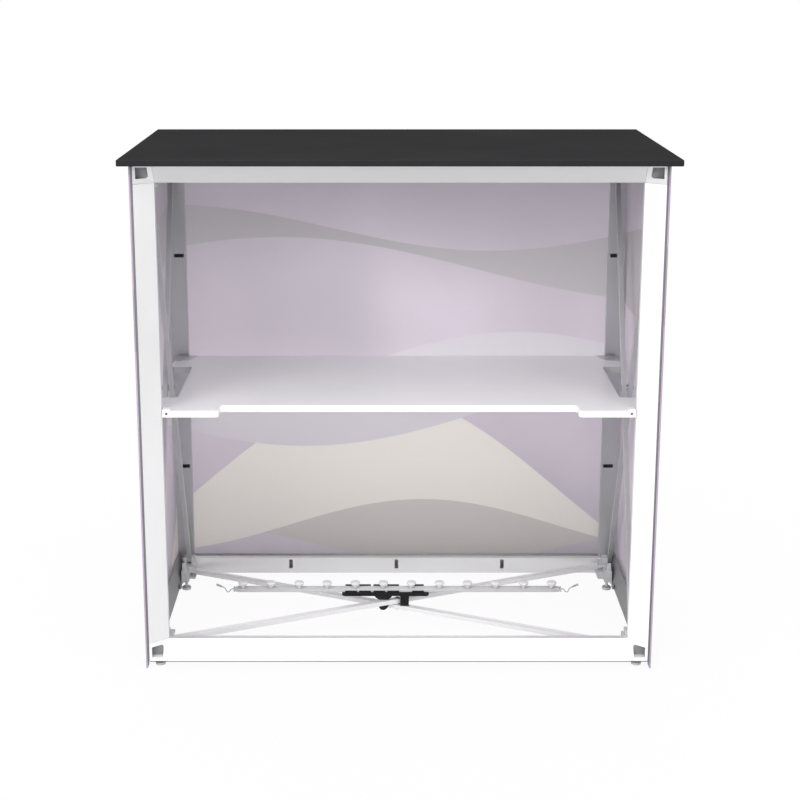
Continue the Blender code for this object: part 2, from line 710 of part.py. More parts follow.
def feet():
    """Make the eight levelling feet: a domed pad on a threaded stem."""
    top = FRAME_LIFT + STEM_ENGAGED
    profile = [(0, top), (STEM_RADIUS, top), (STEM_RADIUS, FOOT_HEIGHT + FOOT_DOME),
               (FOOT_RADIUS - FOOT_DOME, FOOT_HEIGHT + FOOT_DOME / 2),
               (FOOT_RADIUS, FOOT_HEIGHT), (FOOT_RADIUS, FOOT_DOME / 2),
               (FOOT_SOLE_RADIUS, 0), (0, 0)]
    for row, sy in ROWS:
        for side, sx in SIDES:
            x, y, _ = from_edge(sx, sy, -1, CORNER_FOOT_U, CORNER_FOOT_V, 0)
            corner = turned("_".join((row, side, "corner_foot")), profile,
                            Matrix.Translation((x, y, 0)))
            paint(corner, "rubber")
            x = sx * (HALF_X - HUB_FOOT_INSET)
            inner = turned("_".join((row, side, "hub_foot")), profile,
                           Matrix.Translation((x, sy * HUB_FOOT_Y, 0)))
            paint(inner, "rubber")


def shelf_outline():
    """Outline of the shelf's right half, a little past its middle line."""
    block_x = SHELF_LIP_X - END_BLOCK_LENGTH - CLEARANCE
    block_y = SHELF_LIP_Y + END_BLOCK_DEPTH + CLEARANCE
    recess_x = SHELF_LIP_X - SHELF_LIP_LENGTH
    recess_y = SHELF_LIP_Y + SHELF_RECESS
    notch_x = SHELF_END_X - SHELF_NOTCH
    notch_near = SHELF_NEAR_Y + SHELF_NEAR_EAR
    notch_far = SHELF_FAR_Y - SHELF_FAR_EAR
    radius = SHELF_RADIUS
    corners = [
        (-OVERRUN, recess_y, 0), (recess_x, recess_y, radius),
        (recess_x, SHELF_LIP_Y, radius), (block_x, SHELF_LIP_Y, 0),
        (block_x, block_y, 0), (SHELF_LIP_X, block_y, 0),
        (SHELF_LIP_X, SHELF_NEAR_Y, 0), (SHELF_END_X, SHELF_NEAR_Y, 0),
        (SHELF_END_X, notch_near, radius), (notch_x, notch_near, radius),
        (notch_x, notch_far, radius), (SHELF_END_X, notch_far, radius),
        (SHELF_END_X, SHELF_FAR_Y, 0), (-OVERRUN, SHELF_FAR_Y, 0),
    ]
    return rounded([(x, y) for x, y, _ in corners], [size for _, _, size in corners])


def stud_places():
    """Give the four places where a bracket's stud comes up through the shelf."""
    x = HALF_X - SLOT_FROM_EDGE
    y = INNER_Y - STUD_FROM_POST
    return [(sx * x, sy * y) for _, sx in SIDES for _, sy in ROWS]


def shelf():
    """Make the shelf board, with holes for the studs of its brackets."""
    board = prism("shelf", "Z", [shelf_outline()], SHELF_BOTTOM, SHELF_TOP)
    mirror = board.modifiers.new("other_half", "MIRROR")
    mirror.use_bisect_axis[0] = True
    mirror.use_bisect_flip_axis[0] = False
    mirror.mirror_object = bpy.data.objects["counter_centre"]
    mirror.merge_threshold = WELD
    for centre in stud_places():
        hole = rod("stud_hole", "Z", centre, STUD_RADIUS + CLEARANCE,
                   SHELF_BOTTOM - OVERRUN, SHELF_TOP + OVERRUN)
        combine(board, "DIFFERENCE", hole)
    paint(board, "silver_laminate")


def hook_outline(sy):
    """Outline of a bracket's hook, seen from the side, as (Y, Z) places."""
    root = SHELF_BOTTOM - CLEARANCE - BRACKET_PLATE / 2
    tab_top = HOOK_SEAT + HOOK_THICKNESS
    lip_start = CHANNEL_WALL + CLEARANCE
    lip_end = lip_start + HOOK_LIP
    low = SLOT_BOTTOM - HOOK_DROP
    points = [(HOOK_STEP, root), (CLEARANCE, root), (CLEARANCE, tab_top), (-lip_end, tab_top),
              (-lip_end, low), (-lip_start, low), (-lip_start, HOOK_SEAT),
              (HOOK_STEP, HOOK_SEAT)]
    return [(sy * (INNER_Y - y), z) for y, z in points]


def bracket_plan(sx, sy):
    """Outline of a bracket's plate; a near one ends under the back of its end block."""
    centre = HALF_X - SLOT_FROM_EDGE
    outer, inner = centre + HOOK_WIDTH / 2, centre - HOOK_WIDTH / 2
    post, back = INNER_Y - CLEARANCE, INNER_Y - BRACKET_LENGTH
    if sy > 0:
        points = [(outer, post), (inner, post), (inner, back), (outer, back)]
    else:
        edge = SHELF_LIP_X - END_BLOCK_LENGTH
        tip = END_BLOCK_JOIN - END_BLOCK_DEPTH - SHELF_LIP_Y
        points = [(outer, post), (SHELF_LIP_X, post), (SHELF_LIP_X, tip),
                  (edge, tip), (edge, back), (outer, back)]
    return [(sx * x, sy * y) for x, y in points]


def shelf_brackets():
    """Make the four brackets that hook the shelf into the posts."""
    plate_top = SHELF_BOTTOM - CLEARANCE
    plate_low = plate_top - BRACKET_PLATE
    for side, sx in SIDES:
        centre = sx * (HALF_X - SLOT_FROM_EDGE)
        for row, sy in ROWS:
            name = "_".join((row, side, "shelf_bracket"))
            bracket = prism(name, "Z", [bracket_plan(sx, sy)], plate_low, plate_top)
            hook = prism("hook", "X", [hook_outline(sy)],
                         centre - HOOK_WIDTH / 2, centre + HOOK_WIDTH / 2)
            combine(bracket, "UNION", hook)
            stud = rod("stud", "Z", (centre, sy * (INNER_Y - STUD_FROM_POST)), STUD_RADIUS,
                       plate_low + BRACKET_PLATE / 2, SHELF_TOP)
            combine(bracket, "UNION", stud)
            if sy < 0:
                outer, inner = sx * SHELF_LIP_X, sx * (SHELF_LIP_X - END_BLOCK_LENGTH)
                back = SHELF_LIP_Y + END_BLOCK_DEPTH
                end_block = cuboid("end_block", (outer, SHELF_LIP_Y, SHELF_BOTTOM),
                                   (inner, back, SHELF_TOP + END_BLOCK_RISE))
                neck = cuboid(
                    "neck", (outer - sx * CLEARANCE, back - END_BLOCK_JOIN + CLEARANCE,
                             plate_low + BRACKET_PLATE / 2),
                    (inner + sx * CLEARANCE, back - CLEARANCE, SHELF_BOTTOM + END_BLOCK_JOIN))
                combine(end_block, "UNION", neck)
                combine(bracket, "UNION", end_block)
            paint(bracket, "silver_laminate")


def light_bar():
    """Make the light bar with its row of moulded lenses."""
    half = LIGHT_LENGTH / 2
    bar = cuboid("light_bar", (-half, -LIGHT_DEPTH / 2, LIGHT_BOTTOM),
                 (half, LIGHT_DEPTH / 2, LIGHT_TOP))
    round_edges(bar, LIGHT_EDGE)
    rim = LENS_CONE + LENS_CAP
    root = -LIGHT_HEIGHT / 2
    profile = [(0, rim), (LENS_RADIUS - LENS_CAP / 2, rim), (LENS_RADIUS, rim - LENS_CAP / 2),
               (LENS_RADIUS, LENS_CONE), (LENS_BASE_RADIUS, 0), (LENS_BASE_RADIUS, root),
               (0, root)]
    for number in range(LENS_COUNT):
        x = (number - (LENS_COUNT - 1) / 2) * LENS_PITCH
        lens = turned("lens", profile, Matrix.Translation((x, 0, LIGHT_TOP)))
        combine(bar, "UNION", lens)
    paint(bar, "white_coat")


def light_leads():
    """Make the short lead, with its moulded plug, at each end of the light bar."""
    for side, sx in SIDES:
        start = Vector((sx * (LIGHT_LENGTH / 2 + CLEARANCE), 0,
                        LIGHT_BOTTOM + LIGHT_HEIGHT / 2))
        route = [start + Vector((sx * x, y, z)) for x, y, z in LEAD_ROUTE]
        curve = bpy.data.curves.new(side + "_lead", "CURVE")
        curve.dimensions = "3D"
        curve.bevel_depth = LEAD_RADIUS
        curve.bevel_resolution = 2
        curve.use_fill_caps = True
        spline = curve.splines.new("POLY")
        spline.points.add(len(route) - 1)
        for point, spot in zip(spline.points, route):
            point.co = (*(spot - start), 1.0)
        wire = bpy.data.objects.new(side + "_lead", curve)
        bpy.data.collections["exhibition_counter"].objects.link(wire)
        wire.location = start
        lead = solidified(wire)
        along = (route[-1] - route[-2]).normalized()
        turn = along.to_track_quat("Z", "Y").to_matrix().to_4x4()
        middle = route[-1] + along * (PLUG_LENGTH / 2 - PLUG_RADIUS)
        plug = rod("plug", "Z", (0, 0), PLUG_RADIUS, -PLUG_LENGTH / 2, PLUG_LENGTH / 2)
        plug.matrix_world = Matrix.Translation(middle) @ turn
        combine(lead, "UNION", plug)
        paint(lead, "white_coat")


def light_clip():
    """Make the black clip: a strip with saddles, and two legs between the bars."""
    bottom = CLIP_BOTTOM
    top = bottom + CLIP_BASE
    first = CLIP_CENTRE - CLIP_LENGTH / 2
    half = CLIP_HALF_DEPTH
    clip = cuboid("light_clip", (first, -half, bottom), (first + CLIP_LENGTH, half, top))
    root = bottom + CLIP_BASE / 2
    wall_y = LIGHT_DEPTH / 2 + CLEARANCE
    for share in SADDLE_SHARES:
        centre = CLIP_CENTRE + share * CLIP_LENGTH
        for sy, rise in ((-1, CLIP_NEAR_RISE), (1, CLIP_FAR_RISE)):
            wall = cuboid("saddle_wall", (centre - SADDLE_LENGTH / 2, sy * wall_y, root),
                          (centre + SADDLE_LENGTH / 2, sy * (wall_y + CLIP_WALL), top + rise))
            combine(clip, "UNION", wall)
    combine(clip, "UNION", wedge_leg(root))
    rest_far = REST_LEG_START * FLOOR_BAR_SLOPE - FLOOR_BAR_HALF - REST_LEG_GAP
    rest = cuboid("rest_leg",
                  (REST_LEG_START, rest_far - REST_LEG_DEPTH, LOW_BAR_TOP + CLEARANCE),
                  (REST_LEG_START + REST_LEG_LENGTH, rest_far, root))
    combine(clip, "UNION", rest)
    paint(clip, "black_plastic")


def wedge_leg(root):
    """Make the leg that stands in the left crotch of the crossed floor bars."""
    near = FLOOR_BAR_HALF / FLOOR_BAR_SLOPE + WEDGE_LEG_GAP
    far = near + WEDGE_LEG_LENGTH
    low = CLIP_BOTTOM - WEDGE_LEG_DROP
    plan = [(-x, x * FLOOR_BAR_SLOPE - FLOOR_BAR_HALF) for x in (near, far)]
    loop = plan + [(x, -y) for x, y in reversed(plan)]
    radius = WEDGE_LEG_LENGTH / 2
    leg = prism("wedge_leg", "Z", [loop], low - OVERRUN, root)
    centre = (-near - radius, low + radius)
    shape = [(z, x) for x, z in arc(centre, radius, 180, 360, ARC_STEPS * 2)]
    shape += [(root + OVERRUN, -near), (root + OVERRUN, -far)]
    outline = prism("leg_shape", "Y", [shape], -CLIP_HALF_DEPTH, CLIP_HALF_DEPTH)
    return combine(leg, "INTERSECT", outline)


def graphic():
    """Make the fabric graphic, with its tape, round the left, far and right sides."""
    inner_x = HALF_X + CLEARANCE
    inner_y = HALF_Y + CLEARANCE
    outer_x = inner_x + GRAPHIC_THICKNESS
    outer_y = inner_y + GRAPHIC_THICKNESS
    corners = [(-outer_x, -HALF_Y), (-outer_x, outer_y), (outer_x, outer_y),
               (outer_x, -HALF_Y), (inner_x, -HALF_Y), (inner_x, inner_y),
               (-inner_x, inner_y), (-inner_x, -HALF_Y)]
    fold = GRAPHIC_THICKNESS / 2
    wrap = prism("fabric_graphic", "Z", [rounded(corners, (0, fold, fold, 0, 0, 0, 0, 0))],
                 GRAPHIC_FLOOR_GAP, COUNTER_HEIGHT - TOP_THICKNESS - GRAPHIC_TOP_GAP)
    paint(wrap, "mauve_fabric")


def main():
    """Build the whole counter."""
    clear_scene()
    countertop()
    channel_posts()
    channel_rails()
    side_rails()
    corner_blocks()
    scissor_bars()
    rivets()
    hubs()
    feet()
    shelf()
    shelf_brackets()
    light_bar()
    light_leads()
    light_clip()
    graphic()


main()
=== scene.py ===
# %% [markdown]
# # A backlit exhibition counter
#
# A pop-up counter from a trade fair, seen from its open staff side. White channel bars
# make two rectangles, crossed silver bars hold them apart, a dark top lies on them and a
# printed fabric wraps three sides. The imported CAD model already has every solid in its
# place, in metres. This lesson gives each of them its true edges, finish and small parts.

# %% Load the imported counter
import json
import math

import bmesh
import bpy
from mathutils import Matrix, Vector

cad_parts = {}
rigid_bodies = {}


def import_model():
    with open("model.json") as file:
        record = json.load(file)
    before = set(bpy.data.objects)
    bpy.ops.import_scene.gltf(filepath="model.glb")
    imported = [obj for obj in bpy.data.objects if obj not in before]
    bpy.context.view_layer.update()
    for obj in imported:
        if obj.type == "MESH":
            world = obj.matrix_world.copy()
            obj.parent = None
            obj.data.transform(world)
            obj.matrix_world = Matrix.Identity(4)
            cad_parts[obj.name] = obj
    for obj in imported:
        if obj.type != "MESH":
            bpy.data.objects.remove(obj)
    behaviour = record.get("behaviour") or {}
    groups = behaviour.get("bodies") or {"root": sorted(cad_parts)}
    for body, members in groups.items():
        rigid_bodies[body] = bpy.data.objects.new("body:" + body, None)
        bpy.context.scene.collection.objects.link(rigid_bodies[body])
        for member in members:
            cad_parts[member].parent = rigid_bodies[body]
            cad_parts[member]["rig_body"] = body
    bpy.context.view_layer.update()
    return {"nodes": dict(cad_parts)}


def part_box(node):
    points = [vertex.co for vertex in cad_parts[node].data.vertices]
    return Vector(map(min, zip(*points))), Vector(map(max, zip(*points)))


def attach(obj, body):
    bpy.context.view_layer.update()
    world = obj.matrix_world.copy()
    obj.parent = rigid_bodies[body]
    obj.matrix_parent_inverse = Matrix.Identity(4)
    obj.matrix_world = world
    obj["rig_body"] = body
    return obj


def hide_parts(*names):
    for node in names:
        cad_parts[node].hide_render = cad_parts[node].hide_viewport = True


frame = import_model()
nodes = sorted(frame["nodes"])

# %% [markdown]
# ## The camera
#
# The photograph was taken with a long lens from above the top, and its upright bars come
# out almost upright. A small downward shift of the lens does that, as in a view camera, so
# the camera is tipped down less than its height asks for.

# %% Camera
lens = bpy.data.cameras.new("camera")
lens.lens = 67.66
lens.shift_x = 0.023
lens.shift_y = -0.125
camera = bpy.data.objects.new("camera", lens)
camera.location = (-0.033, -2.944, 1.340)
camera.rotation_euler = (math.radians(77.46), 0.0, 0.0)
bpy.context.scene.collection.objects.link(camera)
bpy.context.scene.camera = camera
bpy.context.scene.view_settings.view_transform = "Standard"
print("camera", camera.location[:], lens.lens)

# %% [markdown]
# ## Small tools
#
# Colours are picked as sRGB hex values, but shaders count in linear light, so one function
# converts them. Another adds a node with its settings and links, and a third starts a
# material. The last turns finished mesh code into a piece that rides on a body of the model.


# %% Tools
MM = 0.001


def colour(code):
    """Turn an sRGB hex value into linear red, green, blue and alpha."""
    parts = [int(code[i:i + 2], 16) / 255 for i in (1, 3, 5)]
    linear = [p / 12.92 if p <= 0.04045 else ((p + 0.055) / 1.055) ** 2.4 for p in parts]
    return (*linear, 1.0)


def add(tree, kind, settings=(), values=(), links=()):
    """Add a shader node, with its settings, its socket values and what feeds it."""
    node = tree.nodes.new("ShaderNode" + kind)
    for name, value in dict(settings).items():
        setattr(node, name, value)
    for name, value in dict(values).items():
        node.inputs[name].default_value = value
    for name, source in dict(links).items():
        tree.links.new(source, node.inputs[name])
    return node


def new_material(name, **values):
    """Start a material; give back its node tree and its Principled shader."""
    material = bpy.data.materials.new(name)
    material.use_nodes = True
    tree = material.node_tree
    shader = tree.nodes["Principled BSDF"]
    for socket, value in values.items():
        shader.inputs[socket.replace("_", " ")].default_value = value
    return material, tree, shader


def piece(name, cage, materials, body="frame", replaces=()):
    """Turn finished mesh code into a piece of the counter."""
    mesh = bpy.data.meshes.new(name)
    cage.to_mesh(mesh)
    cage.free()
    for material in materials:
        mesh.materials.append(material)
    made = bpy.data.objects.new(name, mesh)
    bpy.context.scene.collection.objects.link(made)
    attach(made, body)
    if replaces:
        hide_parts(*replaces)
    return made


print("colour of white paint:", [round(c, 3) for c in colour("#f4f4f5")])

# %% [markdown]
# Nearly every finish here is built alike. The real surfaces are never one flat colour:
# broad patches differ a little in tone and in gloss, and a fine grain breaks up the
# reflections. So one recipe makes them all, and each finish gives it two tones and real
# sizes: how wide the patches are, how fine the grain is and how deep. On drawn metal the
# pattern is also stretched along the bar.


# %% The recipe for a finish
def surface(name, tones, patch, grain, depth, gloss, stretch=(1, 1, 1), **values):
    """Make a finish from two tones, a range of roughness, and sizes in millimetres."""
    material, tree, shader = new_material(name, **values)
    place = add(tree, "TexCoord").outputs["Object"]
    drawn = add(tree, "Mapping", {}, {"Scale": stretch}, {"Vector": place}).outputs[0]
    cloud = add(tree, "TexNoise", {}, {"Scale": 1 / (patch * MM), "Detail": 3.0},
                {"Vector": drawn})
    tone = add(tree, "Mix", {"data_type": "RGBA"},
               {6: colour(tones[0]), 7: colour(tones[1])}, {0: cloud.outputs["Fac"]})
    tree.links.new(tone.outputs[2], shader.inputs["Base Color"])
    rough = add(tree, "MapRange", {}, {"From Min": 0.3, "From Max": 0.7, "To Min": gloss[0],
                                       "To Max": gloss[1]}, {"Value": cloud.outputs["Fac"]})
    tree.links.new(rough.outputs[0], shader.inputs["Roughness"])
    fine = add(tree, "TexNoise", {}, {"Scale": 1 / (grain * MM), "Detail": 2.0},
               {"Vector": drawn})
    bump = add(tree, "Bump", {}, {"Distance": depth * MM}, {"Height": fine.outputs["Fac"]})
    tree.links.new(bump.outputs[0], shader.inputs["Normal"])
    return material


# Plasticised PVC over copper: soft, slightly shiny, with faint ripples from the nozzle
wire_coat = surface("pvc_wire_coat", ("#a4a4a6", "#b2b2b4"), 4, 1.2, 0.01, (0.38, 0.46))
print("first finish:", wire_coat.name)

# %% [markdown]
# ## The two leads
#
# A short wire with a moulded plug comes out of each end of the row of lights. The photo
# shows both from end to end, so the length is what it shows: about 32 mm. A curve is the
# right tool: its line is the wire's middle, and its bevel is the wire's thickness. The plug
# is turned: a profile of (radius, height) points is spun about an axis.

# %% Spinning a profile
WIRE_RADIUS = 1.0 * MM
LEAD_RISE = 4.5 * MM
LIGHT_END = 0.3433
LIGHT_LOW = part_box("light_bar")[0].z
LEAD_ROUTE = (
    (0.0000, 0.0000, 0.0000), (0.0030, 0.0000, -0.0001), (0.0058, 0.0000, -0.0016),
    (0.0082, 0.0001, -0.0048), (0.0112, 0.0003, -0.0068), (0.0143, 0.0008, -0.0052),
    (0.0165, 0.0015, -0.0012), (0.0196, 0.0025, 0.0020), (0.0243, 0.0040, 0.0034))
PLUG = [(0, -2.1), (1.3, -2.1), (1.5, -1.4), (1.5, 0.6), (2.0, 1.2), (2.1, 1.6), (2.1, 5.0),
        (1.8, 5.3), (1.8, 5.9), (2.1, 6.2), (2.1, 12.3), (1.8, 12.7), (1.4, 12.9), (1.4, 11.9),
        (0, 11.9)]


def smooth(cage):
    """Shade every face smoothly."""
    for face in cage.faces:
        face.smooth = True


def turned(profile, matrix, steps=32):
    """Spin a profile of (radius, height) points, in millimetres, about local Z."""
    cage = bmesh.new()
    verts = [cage.verts.new((radius * MM, 0.0, height * MM)) for radius, height in profile]
    edges = [cage.edges.new(pair) for pair in zip(verts, verts[1:])]
    bmesh.ops.spin(cage, geom=verts + edges, cent=(0, 0, 0), axis=(0, 0, 1),
                   dvec=(0, 0, 0), angle=math.tau, steps=steps, use_merge=True)
    bmesh.ops.remove_doubles(cage, verts=cage.verts, dist=0.00001)
    bmesh.ops.recalc_face_normals(cage, faces=cage.faces)
    bmesh.ops.transform(cage, matrix=matrix, verts=cage.verts)
    smooth(cage)
    return cage


print("points on the plug's profile:", len(PLUG))

# %% Leads
for side, sign in (("left", -1), ("right", 1)):
    start = Vector((sign * LIGHT_END, 0, LIGHT_LOW + LEAD_RISE))
    route = [start + Vector((sign * x, y, z)) for x, y, z in LEAD_ROUTE]
    curve = bpy.data.curves.new(side + "_wire", "CURVE")
    curve.dimensions = "3D"
    curve.bevel_depth = WIRE_RADIUS
    curve.bevel_resolution = 4
    curve.use_fill_caps = True
    spline = curve.splines.new("BEZIER")
    spline.bezier_points.add(len(route) - 1)
    spline.resolution_u = 6
    for point, spot in zip(spline.bezier_points, route):
        point.co = spot
        point.handle_left_type = point.handle_right_type = "AUTO"
    curve.materials.append(wire_coat)
    wire = bpy.data.objects.new(side + "_wire", curve)
    bpy.context.scene.collection.objects.link(wire)
    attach(wire, "frame")
    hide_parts(side + "_lead")
    along = (route[-1] - route[-2]).normalized()
    turn = Matrix.Translation(route[-1]) @ along.to_track_quat("Z", "Y").to_matrix().to_4x4()
    plug = piece(side + "_plug", turned(PLUG, turn), [wire_coat])
    print(side, "lead from", [round(c, 4) for c in start])

# %% [markdown]
# ## Floor and light
#
# The photo is a cut-out on pure white. The floor is a pale sheet whose own colour is mixed
# with a plain glow for the camera and for mirrored rays, so that it comes out white and
# still takes the counter's shadow. Large soft lamps light the counter from the left and
# right front, from above, a little from low in front, and from behind through the cloth.

# %% Floor
floor_white, tree, shader = new_material("floor_paper", Roughness=0.9)
place = add(tree, "TexCoord").outputs["Object"]
grain = add(tree, "TexNoise", values={"Scale": 3.0}, links={"Vector": place})
tone = add(tree, "Mix", {"data_type": "RGBA"},
           {6: colour("#dadada"), 7: colour("#e0e0e0")}, {0: grain.outputs["Fac"]})
tree.links.new(tone.outputs[2], shader.inputs["Base Color"])

# Near the counter some of the sheet's own colour shows to the camera, and with it the
# shadow. Farther out it is all glow. In mirrors the sheet is darker near the counter.
path = add(tree, "LightPath").outputs
mirrored = add(tree, "Math", {"operation": "MAXIMUM"}, {},
               {0: path["Is Glossy Ray"], 1: path["Is Transmission Ray"]})
spread = add(tree, "VectorMath", {"operation": "LENGTH"}, {}, {0: place})
for_eye = add(tree, "MapRange", {"interpolation_type": "SMOOTHSTEP"},
              {"From Min": 0.7, "From Max": 1.8, "To Min": 0.94, "To Max": 1.0},
              {"Value": spread.outputs["Value"]})
for_mirror = add(tree, "MapRange", {"interpolation_type": "SMOOTHSTEP"},
                 {"From Min": 0.45, "From Max": 1.3, "To Min": 0.30, "To Max": 1.0},
                 {"Value": spread.outputs["Value"]})
eye_share = add(tree, "Math", {"operation": "MULTIPLY"}, {},
                {0: path["Is Camera Ray"], 1: for_eye.outputs[0]})
share = add(tree, "Math", {"operation": "MULTIPLY_ADD"}, {},
            {0: mirrored.outputs[0], 1: for_mirror.outputs[0], 2: eye_share.outputs[0]})
glow = add(tree, "Emission", values={"Strength": 1.0, "Color": (1, 1, 1, 1)})
mixed = add(tree, "MixShader", {}, {},
            {0: share.outputs[0], 1: shader.outputs[0], 2: glow.outputs[0]})
tree.links.new(mixed.outputs[0], tree.nodes["Material Output"].inputs["Surface"])


def stage_plane(name, material, size, matrix):
    """Lay or stand a flat sheet that isn't part of the counter."""
    cage = bmesh.new()
    bmesh.ops.create_grid(cage, x_segments=1, y_segments=1, size=size / 2, matrix=matrix)
    mesh = bpy.data.meshes.new(name)
    cage.to_mesh(mesh)
    cage.free()
    mesh.materials.append(material)
    sheet = bpy.data.objects.new(name, mesh)
    bpy.context.scene.collection.objects.link(sheet)
    return sheet


FLOOR_SIZE = 60.0
stage_plane("floor", floor_white, FLOOR_SIZE, Matrix.Identity(4))
print("floor laid, metres across:", FLOOR_SIZE)

# %% [markdown]
# Satin metal is bright or dark by what it mirrors, and in a studio of white light it would
# all be bright. Photographers put black cloths, called flags, where the metal looks. One
# lies on the floor, under the camera and behind it, and one stands behind that. The camera
# doesn't see them, and they take no light from the counter and cast no shadow.

# %% Flags
flag_black, tree, shader = new_material("black_flag_cloth", Roughness=1.0)
shader.inputs["Base Color"].default_value = colour("#1c1c1c")
shader.inputs["Specular IOR Level"].default_value = 0.0
FLAG_SIZE = 6.0
FLAGS = {"floor_flag": ((0, -4.2, 0.02), 0, (0.8, 1.0, 1.0, 1.0)),
         "back_flag": ((0, -7.2, 1.5), 90, (1.2, 0.5, 1.0, 1.0))}
for name, (spot, tilt, shape) in FLAGS.items():
    turn = Matrix.Translation(spot) @ Matrix.Rotation(math.radians(tilt), 4, "X")
    flag = stage_plane(name, flag_black, FLAG_SIZE, turn @ Matrix.Diagonal(shape))
    flag.visible_camera = flag.visible_diffuse = flag.visible_shadow = False
    print(name, "stands", -spot[1], "m in front")

# %% World and lamps
# The sky is plain white to look at and in mirrors, and a little dimmer where it gives light
world = bpy.data.worlds.new("studio")
bpy.context.scene.world = world
world.use_nodes = True
tree = world.node_tree
path = add(tree, "LightPath").outputs
seen = add(tree, "Math", {"operation": "MAXIMUM"}, {},
           {0: path["Is Camera Ray"], 1: path["Is Glossy Ray"]})
seen = add(tree, "Math", {"operation": "MAXIMUM"}, {},
           {0: seen.outputs[0], 1: path["Is Transmission Ray"]})
level = add(tree, "MapRange", {}, {"To Min": 0.95, "To Max": 1.0}, {"Value": seen.outputs[0]})
tree.links.new(level.outputs[0], tree.nodes["Background"].inputs["Strength"])
tree.nodes["Background"].inputs["Color"].default_value = (1, 1, 1, 1)

# Each lamp: where it is, where it aims, how wide it is in metres, and its watts
LAMPS = {
    "key": ((-2.6, -3.2, 2.2), (0, 0, 0.45), 2.2, 68),
    "fill": ((2.2, -3.6, 2.8), (0, 0, 0.40), 2.2, 36),
    "low": ((0.0, -2.3, 0.35), (0, 0.2, 0.85), 1.4, 5),
    "over": ((0.0, -1.6, 4.0), (0, 0, 0.3), 2.6, 30),
    "back": ((0.0, 4.2, 1.2), (0, 0, 0.7), 2.0, 80),
}
for name, (spot, aim, size, watts) in LAMPS.items():
    lamp = bpy.data.lights.new(name, "AREA")
    lamp.shape = "DISK"
    lamp.size = size
    lamp.energy = watts
    holder = bpy.data.objects.new(name, lamp)
    holder.location = spot
    holder.rotation_euler = (Vector(aim) - Vector(spot)).to_track_quat("-Z", "Y").to_euler()
    bpy.context.scene.collection.objects.link(holder)
print("lamps:", list(LAMPS))

# %% [markdown]
# ## Rounding the CAD solids
#
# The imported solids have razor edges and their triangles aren't joined. Real bars and
# mouldings have a small radius that catches the light, and that line of light is what makes
# them look made. So each solid gets a copy: its triangles are joined, flat ones are merged
# into whole faces, and its sharp edges get a bevel. A second finish can go on some faces.


# %% Rounding tool
def joined(node):
    """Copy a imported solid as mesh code, with whole flat faces."""
    cage = bmesh.new()
    cage.from_mesh(frame["nodes"][node].data)
    bmesh.ops.remove_doubles(cage, verts=cage.verts, dist=0.00001)
    bmesh.ops.dissolve_limit(cage, angle_limit=math.radians(1.5),
                             verts=cage.verts, edges=cage.edges)
    bmesh.ops.recalc_face_normals(cage, faces=cage.faces)
    return cage


def soften(cage, width, segments=2, angle=35):
    """Round the sharp edges of a piece of mesh code."""
    sharp = [edge for edge in cage.edges
             if edge.is_manifold and edge.calc_face_angle() > math.radians(angle)]
    bmesh.ops.bevel(cage, geom=sharp, offset=width, offset_type="OFFSET", affect="EDGES",
                    segments=segments, profile=0.5, material=-1, clamp_overlap=True)
    smooth(cage)
    return cage


def rounded(node, width, materials, segments=2, second=None):
    """Stand a rounded copy of a solid in its place; second picks the faces of finish two."""
    cage = soften(joined(node), width, segments)
    if second:
        for face in cage.faces:
            face.material_index = int(second(face))
    body = frame["nodes"][node]["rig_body"]
    made = piece(node + "_piece", cage, materials, body, [node])
    keep = made.modifiers.new("flats", "WEIGHTED_NORMAL")
    keep.keep_sharp = True
    keep.weight = 80
    return made


print("edges of the packed top:", len(joined("countertop").edges))

# %% [markdown]
# Small flat parts are cut from an outline, which is drawn once and then thickened. Boxes
# and pan-head screws come up several times, so they get a helper each. A helper works in
# its own plane, and a matrix stands the result where it belongs.


# %% Plates, blocks and screws
def plate(outline, thickness, matrix, width=0.3 * MM):
    """Cut an outline of (x, y) points from sheet, thicken it upwards and break its edges."""
    cage = bmesh.new()
    verts = [cage.verts.new((x, y, 0.0)) for x, y in outline]
    bmesh.ops.contextual_create(cage, geom=verts)
    grown = bmesh.ops.extrude_face_region(cage, geom=cage.faces[:])
    bmesh.ops.translate(cage, vec=(0, 0, thickness),
                        verts=[v for v in grown["geom"] if isinstance(v, bmesh.types.BMVert)])
    bmesh.ops.recalc_face_normals(cage, faces=cage.faces)
    soften(cage, width)
    bmesh.ops.transform(cage, matrix=matrix, verts=cage.verts)
    bmesh.ops.recalc_face_normals(cage, faces=cage.faces)
    return cage


def block(middle, size, width, segments=2):
    """Make a box with rounded edges about a middle."""
    cage = bmesh.new()
    bmesh.ops.create_cube(cage, size=1.0,
                          matrix=Matrix.Translation(middle) @ Matrix.Diagonal((*size, 1)))
    return soften(cage, width, segments)


def merged(cages):
    """Pour several pieces of mesh code into one."""
    whole = bmesh.new()
    for cage in cages:
        mesh = bpy.data.meshes.new("part")
        cage.to_mesh(mesh)
        cage.free()
        whole.from_mesh(mesh)
        bpy.data.meshes.remove(mesh)
    return whole


PAN_HEAD = [(0, 0.25), (0.45, 0.25), (0.45, 0.95), (0.6, 1.0), (0.85, 0.8), (1.0, 0.4),
            (1.0, -0.2), (0, -0.2)]


def pan_head(radius, height, matrix):
    """Turn a pan-head screw with a round socket, sizes in millimetres."""
    return turned([(r * radius, z * height) for r, z in PAN_HEAD], matrix, 20)


# Stands a part up: what a helper makes upwards then points at the viewer
TO_VIEWER = Matrix.Rotation(math.radians(90), 4, "X")
print("points on the pan head's profile:", len(PAN_HEAD))

